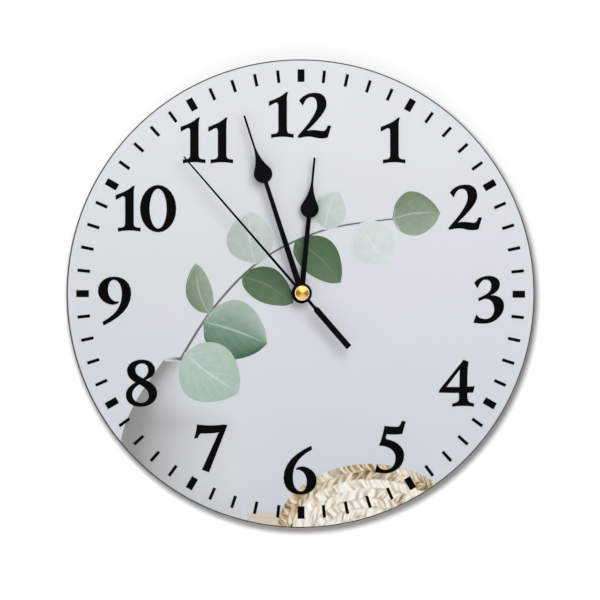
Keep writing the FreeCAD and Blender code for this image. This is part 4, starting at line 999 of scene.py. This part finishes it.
def board_material():
    """Sealed fibreboard: pressed fibres on the back, a smooth dark sealed edge."""
    recipe = Recipe("fibreboard")
    fibres = recipe.noise(950.0, 8.0)
    flakes = recipe.noise(1.0, 4.0, recipe.stretched((300.0, 1600.0, 1100.0)))
    tone = recipe.mix(recipe.fade(fibres, 0.3, 0.7), (0.30, 0.19, 0.115), (0.42, 0.29, 0.18))
    tone = recipe.mix(recipe.fade(flakes, 0.55, 0.7), tone, (0.19, 0.11, 0.06))
    radius = recipe.radius()
    rim = recipe.fade(radius, BOARD_HIGH.x - 0.7 * MM, BOARD_HIGH.x - 0.2 * MM)
    tone = recipe.mix(rim, tone, (0.012, 0.012, 0.012))
    recipe.bump(recipe.plus(fibres, flakes), 0.5, 0.04 * MM)
    return recipe.finish(tone, recipe.fade(rim, 0.0, 1.0, 0.75, 0.5))


def case_material():
    """Black moulded plastic with a fine sparked texture."""
    recipe = Recipe("moulded_case")
    colour = tuple(settings().movement.case)
    pits = recipe.node("ShaderNodeTexVoronoi", {"Vector": recipe.place, "Scale": 3200.0})
    pit = pits.outputs["Distance"]
    flow = recipe.noise(1.0, 3.0, recipe.stretched((30.0, 60.0, 180.0)))
    tone = recipe.mix(flow, lighter(colour, 0.75), lighter(colour, 1.6))
    dust = recipe.fade(recipe.noise(600.0, 6.0), 0.62, 0.8)
    tone = recipe.mix(recipe.times(dust, 0.25), tone, lighter(colour, 4.0))
    recipe.bump(pit, 0.35, 0.03 * MM)
    return recipe.finish(tone, recipe.fade(flow, 0.3, 0.7, 0.42, 0.58))


def circuit_material():
    """Brown laminate with copper tracks under green lacquer."""
    recipe = Recipe("circuit_board")
    cells = recipe.node("ShaderNodeTexBrick", {
        "Vector": recipe.stretched((1.0, 1.0, 1.0), (math.pi / 2, 0.0, 0.0)), "Scale": 260.0,
        "Mortar Size": 0.06, "Brick Width": 1.1, "Row Height": 0.34})
    track = cells.outputs["Fac"]
    weave = recipe.noise(1.0, 3.0, recipe.stretched((2500.0, 2500.0, 900.0)))
    base = recipe.mix(weave, (0.030, 0.095, 0.040), (0.045, 0.14, 0.060))
    tone = recipe.mix(track, base, (0.10, 0.22, 0.07))
    recipe.bump(track, 0.4, 0.03 * MM)
    return recipe.finish(tone, recipe.fade(weave, 0.3, 0.7, 0.25, 0.4))


CELL_LOW, CELL_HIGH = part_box("battery_cell")


def cell_material():
    """A plain cell: steel ends, a graphite jacket and a brass-coloured shoulder band."""
    recipe = Recipe("battery_cell")
    x = recipe.axes()[0]
    along = recipe.over(recipe.minus(x, CELL_LOW.x), CELL_HIGH.x - CELL_LOW.x)
    band = recipe.ramp(along, [
        (0.0, (0.62, 0.62, 0.60)), (0.047, (0.62, 0.62, 0.60)), (0.049, (0.75, 0.50, 0.20)),
        (0.27, (0.72, 0.47, 0.18)), (0.275, (0.80, 0.80, 0.78)), (0.29, (0.055, 0.06, 0.07)),
        (0.975, (0.045, 0.05, 0.06)), (0.985, (0.62, 0.62, 0.60))])
    lines = recipe.noise(1.0, 2.0, recipe.stretched((40.0, 900.0, 900.0)))
    tone = recipe.mix(recipe.times(lines, 0.3), band, (0.25, 0.25, 0.25))
    scuffs = recipe.fade(recipe.noise(500.0, 6.0), 0.6, 0.75)
    recipe.bump(scuffs, 0.1, 0.01 * MM)
    return recipe.finish(tone, recipe.fade(scuffs, 0.0, 1.0, 0.25, 0.4), 0.85)


# ---------------------------------------------------------------- operators

class ClockOperator(bpy.types.Operator):
    """What the clock's operators share."""
    bl_options = {"REGISTER", "UNDO"}


class CLOCK_OT_board(ClockOperator):
    """Finish the fibreboard and the printed face"""
    bl_idname = "wall_clock.board"
    bl_label = "Board and Print"

    def execute(self, context):
        paint_nodes(["dial_board"], board_material())
        paint_nodes(["dial_print"], backdrop_material())
        return {"FINISHED"}


class CLOCK_OT_vase(ClockOperator):
    """Print the vase and the table edge"""
    bl_idname = "wall_clock.vase"
    bl_label = "Vase and Table"

    def execute(self, context):
        make_patch("print_table_edge", TABLE_TOP, TABLE_FOOT, LAYERS["table"], plank_material())
        make_patch("print_vase_body", vase_side(-1), vase_side(1), LAYERS["vase"],
                   vase_material(), steps=70, columns=36)
        mouth = [(VASE_MIDDLE - MOUTH_HALF, VASE_TOP), (VASE_MIDDLE + MOUTH_HALF, VASE_TOP)]
        make_ribbon("print_vase_lip", mouth, (1.3, 1.6), LAYERS["lip"], lip_material())
        return {"FINISHED"}


class CLOCK_OT_leaves(ClockOperator):
    """Print the twig and its leaves"""
    bl_idname = "wall_clock.leaves"
    bl_label = "Twig and Leaves"

    def execute(self, context):
        bark = speckled("print_twig", seen(96, 94, 92), 0.55, 1.5 * MM, contrast=0.25)
        make_ribbon("print_twig", TWIG, (0.65, 0.4), LAYERS["twig"], bark)
        line = smooth_line(TWIG, TWIG_STEPS)
        for index, (share, side, lean, length, width, bow, tones) in enumerate(LEAVES):
            place = min(round(share * TWIG_STEPS), TWIG_STEPS - 1)
            run = line[place + 1] - line[place]
            heading = math.atan2(run.y, run.x) + side * math.radians(lean)
            left, right = leaf_sides(line[place], heading, length, width, bow)
            name = f"print_leaf_{index + 1}"
            make_patch(name, left, right, LAYERS["leaves"] + index * LAYER_STEP,
                       leaf_material(name, **LEAF_TONES[tones]))
        return {"FINISHED"}


class CLOCK_OT_straw(ClockOperator):
    """Print the plaited straw at the foot of the dial"""
    bl_idname = "wall_clock.straw"
    bl_label = "Plaited Straw"

    def execute(self, context):
        reach = Vector((STRAW_REACH.x, 0.0))
        foot = [STRAW_MIDDLE - reach, STRAW_MIDDLE + reach]
        crown = straw_material("print_straw_crown", 5.0, 2.3, 115.0, 1.3, CREAM_STRAW)
        band = straw_material("print_straw_band", 4.0, 2.0, 120.0, 1.6, TAN_STRAW)
        make_patch("print_straw_band", straw_arch(0.0), foot, LAYERS["straw"], band,
                   steps=90, columns=26)
        make_patch("print_straw_crown", straw_arch(BAND_WIDTH), foot, LAYERS["straw crown"],
                   crown, steps=90, columns=26)
        return {"FINISHED"}


class CLOCK_OT_numerals(ClockOperator):
    """Print the twelve numerals"""
    bl_idname = "wall_clock.numerals"
    bl_label = "Numerals"

    def execute(self, context):
        material = ink_material()
        scale = settings().dial.numeral_height / GLYPH_GRID
        for hour, (across, up, gap) in HOUR_PLACES.items():
            digits = []
            pen = 0.0
            for digit in hour:
                mesh = glyph_mesh(digit)
                mesh.transform(Matrix.Scale(scale, 4))
                spread_ink(mesh, STROKE_GROWTH * MM)
                left, right = span(mesh, 0)
                mesh.transform(Matrix.Translation((pen - left, 0.0, 0.0)))
                pen += right - left + gap * MM
                digits.append(mesh)
            numeral = join(digits, "numeral_" + hour)
            middle = [sum(span(numeral, axis)) / 2 for axis in (0, 2)]
            numeral.transform(Matrix.Translation((
                across * MM - middle[0], PRINT_FACE - LAYERS["ink"] * MM, up * MM - middle[1])))
            face_viewer(numeral)
            add_piece("print_numeral_" + hour, numeral, "clock", material)
        return {"FINISHED"}


class CLOCK_OT_ticks(ClockOperator):
    """Print the ring of sixty ticks"""
    bl_idname = "wall_clock.ticks"
    bl_label = "Ticks"

    def execute(self, context):
        dial = settings().dial
        mesh = grown(tick_tree(), "print_ticks", {
            "Radius": dial.ring_radius, "Length": dial.tick_length, "Count": 60,
            "Minute Width": dial.minute_width, "Hour Width": dial.hour_width,
            "Material": ink_material()})
        mesh.transform(Matrix.Translation(
            RING_SHIFT + Vector((0.0, PRINT_FACE - LAYERS["ink"] * MM, 0.0))))
        face_viewer(mesh)
        add_piece("print_ticks", mesh, "clock")
        return {"FINISHED"}


class CLOCK_OT_hands(ClockOperator):
    """Finish the painted hands"""
    bl_idname = "wall_clock.hands"
    bl_label = "Hands"

    def execute(self, context):
        hands = settings().hands
        paint = speckled("hand_paint", tuple(hands.paint), 0.3, 0.8 * MM, 0.25, 0.01,
                         Specular_IOR_Level=0.03)
        for node, body in (("hour_hand", "hours"), ("minute_hand", "minutes"),
                           ("second_hand", "seconds")):
            replace_softened([node], body, hands.edge, paint)
        return {"FINISHED"}


class CLOCK_OT_brass(ClockOperator):
    """Finish the turned brass pieces"""
    bl_idname = "wall_clock.brass"
    bl_label = "Brass"

    def execute(self, context):
        hands = settings().hands
        cap = cap_material(tuple(hands.brass))
        brass = turned_brass("turned_brass", tuple(hands.brass), 0.25 * MM, 0.32)
        replace_softened(["second_cap"], "seconds", hands.edge / 2, cap)
        replace_softened(["minute_nut"], "minutes", hands.edge, brass)
        replace_softened(["brass_washer", "hex_nut"], "clock", hands.edge, brass)
        paint_nodes(["threaded_bushing", "cannon_pinion"], brass)
        return {"FINISHED"}


class CLOCK_OT_case(ClockOperator):
    """Finish the case, its cover, the setting knob and the rubber washer"""
    bl_idname = "wall_clock.case"
    bl_label = "Case and Cover"

    def execute(self, context):
        movement = settings().movement
        plastic = case_material()
        replace_softened(["movement_case", "rear_cover"], "clock", movement.edge, plastic)
        knob = speckled("knob_plastic", lighter(movement.case, 1.8), 0.45, 0.5 * MM, 0.2, 0.02)
        replace_softened(["setting_knob"], "setter", movement.edge, knob)
        paint_nodes(["rubber_washer"], speckled("rubber", (0.018, 0.018, 0.018), 0.8, 0.4 * MM,
                                                0.3, 0.04))
        return {"FINISHED"}


class CLOCK_OT_train(ClockOperator):
    """Finish the gears, their arbor and the bridge"""
    bl_idname = "wall_clock.train"
    bl_label = "Gear Train"

    def execute(self, context):
        movement = settings().movement
        acetal = speckled("acetal", tuple(movement.gears), 0.38, 0.6 * MM, 0.06, 0.01,
                          Subsurface_Weight=0.15, Subsurface_Radius=(0.001, 0.001, 0.0008))
        tinted = speckled("tinted_acetal", tuple(movement.tinted_gears), 0.38, 0.6 * MM, 0.1, 0.01)
        paint_nodes(["gear_bridge", "rotor_pinion", "second_wheel", "third_wheel", "motion_wheel",
                     "hour_wheel", "setting_shaft"], acetal)
        paint_nodes(["intermediate_wheel", "centre_wheel"], tinted)
        paint_nodes(["second_arbor"], brushed("arbor_steel", (0.6, 0.6, 0.62), 0.25,
                                              (200.0, 9000.0, 200.0)))
        return {"FINISHED"}


class CLOCK_OT_motor(ClockOperator):
    """Finish the stator, the magnet and the bobbin, and wind the coil"""
    bl_idname = "wall_clock.motor"
    bl_label = "Motor"

    def execute(self, context):
        movement = settings().movement
        plate = brushed("stator_steel", (0.52, 0.52, 0.54), 0.35, (4000.0, 300.0, 300.0))
        paint_nodes(["stator_plate", "coil_core"], plate)
        paint_nodes(["rotor_magnet"], speckled("magnet", (0.09, 0.09, 0.10), 0.5, 0.3 * MM, 0.3,
                                               0.03, metallic=0.6))
        paint_nodes(["coil_bobbin"], speckled("bobbin_plastic", (0.05, 0.05, 0.055), 0.45,
                                              0.5 * MM))
        enamel = speckled("enamelled_copper", (0.62, 0.23, 0.09), 0.3, 0.4 * MM, 0.2, 0.01,
                          metallic=1.0, Coat_Weight=0.6, Coat_Roughness=0.15)
        low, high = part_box("coil_winding")
        length = high.x - low.x
        mesh = grown(winding_tree(), "coil_turns", {
            "Length": length, "Radius": (high.z - low.z) / 2, "Wire": movement.wire,
            "Turns": round(length / movement.wire), "Material": enamel})
        mesh.transform(Matrix.Translation((low + high) / 2))
        smooth_faces(mesh, 80.0)
        add_piece("coil_turns", mesh, "clock", None, ["coil_winding"])
        return {"FINISHED"}


class CLOCK_OT_electronics(ClockOperator):
    """Finish the circuit board, crystal, chip and contacts"""
    bl_idname = "wall_clock.electronics"
    bl_label = "Electronics"

    def execute(self, context):
        paint_nodes(["circuit_board"], circuit_material())
        paint_nodes(["quartz_crystal"], brushed("crystal_can", (0.66, 0.66, 0.67), 0.22,
                                                (300.0, 5000.0, 5000.0)))
        paint_nodes(["clock_chip"], speckled("resin", (0.012, 0.012, 0.013), 0.16, 1.2 * MM, 0.2,
                                             0.02))
        paint_nodes(["positive_contact", "negative_contact"],
                    brushed("contact_steel", (0.66, 0.66, 0.64), 0.3, (300.0, 300.0, 4000.0)))
        return {"FINISHED"}


class CLOCK_OT_battery(ClockOperator):
    """Finish the battery"""
    bl_idname = "wall_clock.battery"
    bl_label = "Battery"

    def execute(self, context):
        replace_softened(["battery_cell"], "battery", 0.2 * MM, cell_material())
        return {"FINISHED"}


def pale_material(name, level, one_sided):
    """Matt pale card; a one-sided one is open from behind."""
    recipe = Recipe(name)
    grain = recipe.noise(300.0, 4.0)
    tone = recipe.mix(grain, (level * 0.97,) * 3, (level,) * 3)
    material = recipe.finish(tone, 0.9, Specular_IOR_Level=0.1)
    if one_sided:
        clear = recipe.node("ShaderNodeBsdfTransparent").outputs[0]
        behind = recipe.node("ShaderNodeNewGeometry").outputs["Backfacing"]
        mixed = recipe.node("ShaderNodeMixShader", {
            0: behind, 1: recipe.shader.outputs[0], 2: clear})
        recipe.tree.links.new(mixed.outputs[0], recipe.output.inputs["Surface"])
    return material


def stage_plane(name, corners, material):
    mesh = bpy.data.meshes.new(name)
    mesh.from_pydata(corners, [], [(0, 1, 2, 3)])
    mesh.materials.append(material)
    plane = bpy.data.objects.new(name, mesh)
    bpy.context.scene.collection.objects.link(plane)
    return plane


def soft_light(name, place, target, size, power):
    lamp = bpy.data.lights.new(name, "AREA")
    lamp.shape = "DISK"
    lamp.size = size
    lamp.energy = power
    light = bpy.data.objects.new(name, lamp)
    bpy.context.scene.collection.objects.link(light)
    light.location = place
    light.rotation_euler = (Vector(target) - Vector(place)).to_track_quat("-Z", "Y").to_euler()
    return light


def only_or_without(name, objects, state):
    """A light linking collection that holds only these objects, or all but these."""
    group = bpy.data.collections.new(name)
    for item in objects:
        group.objects.link(item)
    for link in group.collection_objects:
        link.light_linking.link_state = state
    return group


class CLOCK_OT_studio(ClockOperator):
    """Set up the floor, wall, lights and camera"""
    bl_idname = "wall_clock.studio"
    bl_label = "Studio"

    def execute(self, context):
        studio = settings().studio
        half = studio.wall_width / 2
        floor = stage_plane("floor", [
            (-half, -half, -studio.floor_drop), (half, -half, -studio.floor_drop),
            (half, half, -studio.floor_drop), (-half, half, -studio.floor_drop)],
            pale_material("floor_card", FLOOR_TONE, False))
        wall = stage_plane("wall", [
            (-half, WALL_FACE, -studio.floor_drop), (half, WALL_FACE, -studio.floor_drop),
            (half, WALL_FACE, half), (-half, WALL_FACE, half)],
            pale_material("wall_card", WALL_TONE, True))
        centre = (0.0, PRINT_FACE, 0.0)
        wall_key = soft_light("wall_key", WALL_KEY_PLACE, centre, WALL_KEY_SIZE, studio.wall_power)
        wall_key.light_linking.receiver_collection = only_or_without(
            "stage only", [floor, wall], "INCLUDE")
        clock_key = soft_light("clock_key", CLOCK_KEY_PLACE, centre, CLOCK_KEY_SIZE, studio.key_power)
        clock_key.light_linking.receiver_collection = only_or_without(
            "clock only", [floor, wall], "EXCLUDE")
        rear = soft_light("rear_fill", REAR_PLACE, (0, 0, 0), REAR_SIZE, studio.rear_power)
        rear.light_linking.blocker_collection = only_or_without("not the wall", [wall], "EXCLUDE")
        rear.light_linking.receiver_collection = only_or_without(
            "back pieces", [floor, wall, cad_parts["dial_board"]], "EXCLUDE")

        world = bpy.data.worlds.new("studio")
        world.use_nodes = True
        background = world.node_tree.nodes["Background"]
        background.inputs["Color"].default_value = (0.97, 0.98, 1.0, 1.0)
        background.inputs["Strength"].default_value = studio.ambient
        context.scene.world = world
        context.scene.view_settings.view_transform = "Standard"

        camera = bpy.data.objects.new("camera", bpy.data.cameras.new("camera"))
        context.scene.collection.objects.link(camera)
        camera.data.lens = studio.lens
        camera.data.clip_start = 0.05
        aim = Vector((AIM_RIGHT, PRINT_FACE, AIM_UP))
        back = Vector((math.sin(studio.azimuth) * math.cos(studio.elevation),
                       -math.cos(studio.azimuth) * math.cos(studio.elevation),
                       math.sin(studio.elevation)))
        distance = studio.view_width * studio.lens / camera.data.sensor_width
        camera.location = aim + back * distance
        camera.rotation_euler = (-back).to_track_quat("-Z", "Y").to_euler()
        context.scene.camera = camera
        return {"FINISHED"}


STEPS = [
    CLOCK_OT_board, CLOCK_OT_vase, CLOCK_OT_leaves, CLOCK_OT_straw,
    CLOCK_OT_numerals, CLOCK_OT_ticks, CLOCK_OT_hands, CLOCK_OT_brass, CLOCK_OT_case,
    CLOCK_OT_train, CLOCK_OT_motor, CLOCK_OT_electronics, CLOCK_OT_battery, CLOCK_OT_studio,
]


class CLOCK_PT_panel(bpy.types.Panel):
    """Sizes and colours of the clock, and its operators in order"""
    bl_idname = "CLOCK_PT_panel"
    bl_label = "Wall Clock"
    bl_space_type = "VIEW_3D"
    bl_region_type = "UI"
    bl_category = "Wall Clock"

    def draw(self, context):
        clock = context.scene.wall_clock
        for group in (clock.dial, clock.hands, clock.movement, clock.studio):
            box = self.layout.box()
            for name in group.__annotations__:
                box.prop(group, name)
        for step in STEPS:
            self.layout.operator(step.bl_idname)


CLASSES = [DialSettings, HandSettings, MovementSettings, StudioSettings, ClockSettings,
           *STEPS, CLOCK_PT_panel]


def register():
    for item in CLASSES:
        bpy.utils.register_class(item)
    bpy.types.Scene.wall_clock = PointerProperty(type=ClockSettings)


def unregister():
    del bpy.types.Scene.wall_clock
    for item in reversed(CLASSES):
        bpy.utils.unregister_class(item)


def main():
    register()
    for step in STEPS:
        group, name = step.bl_idname.split(".")
        getattr(getattr(bpy.ops, group), name)()


if __name__ == "__main__":
    main()
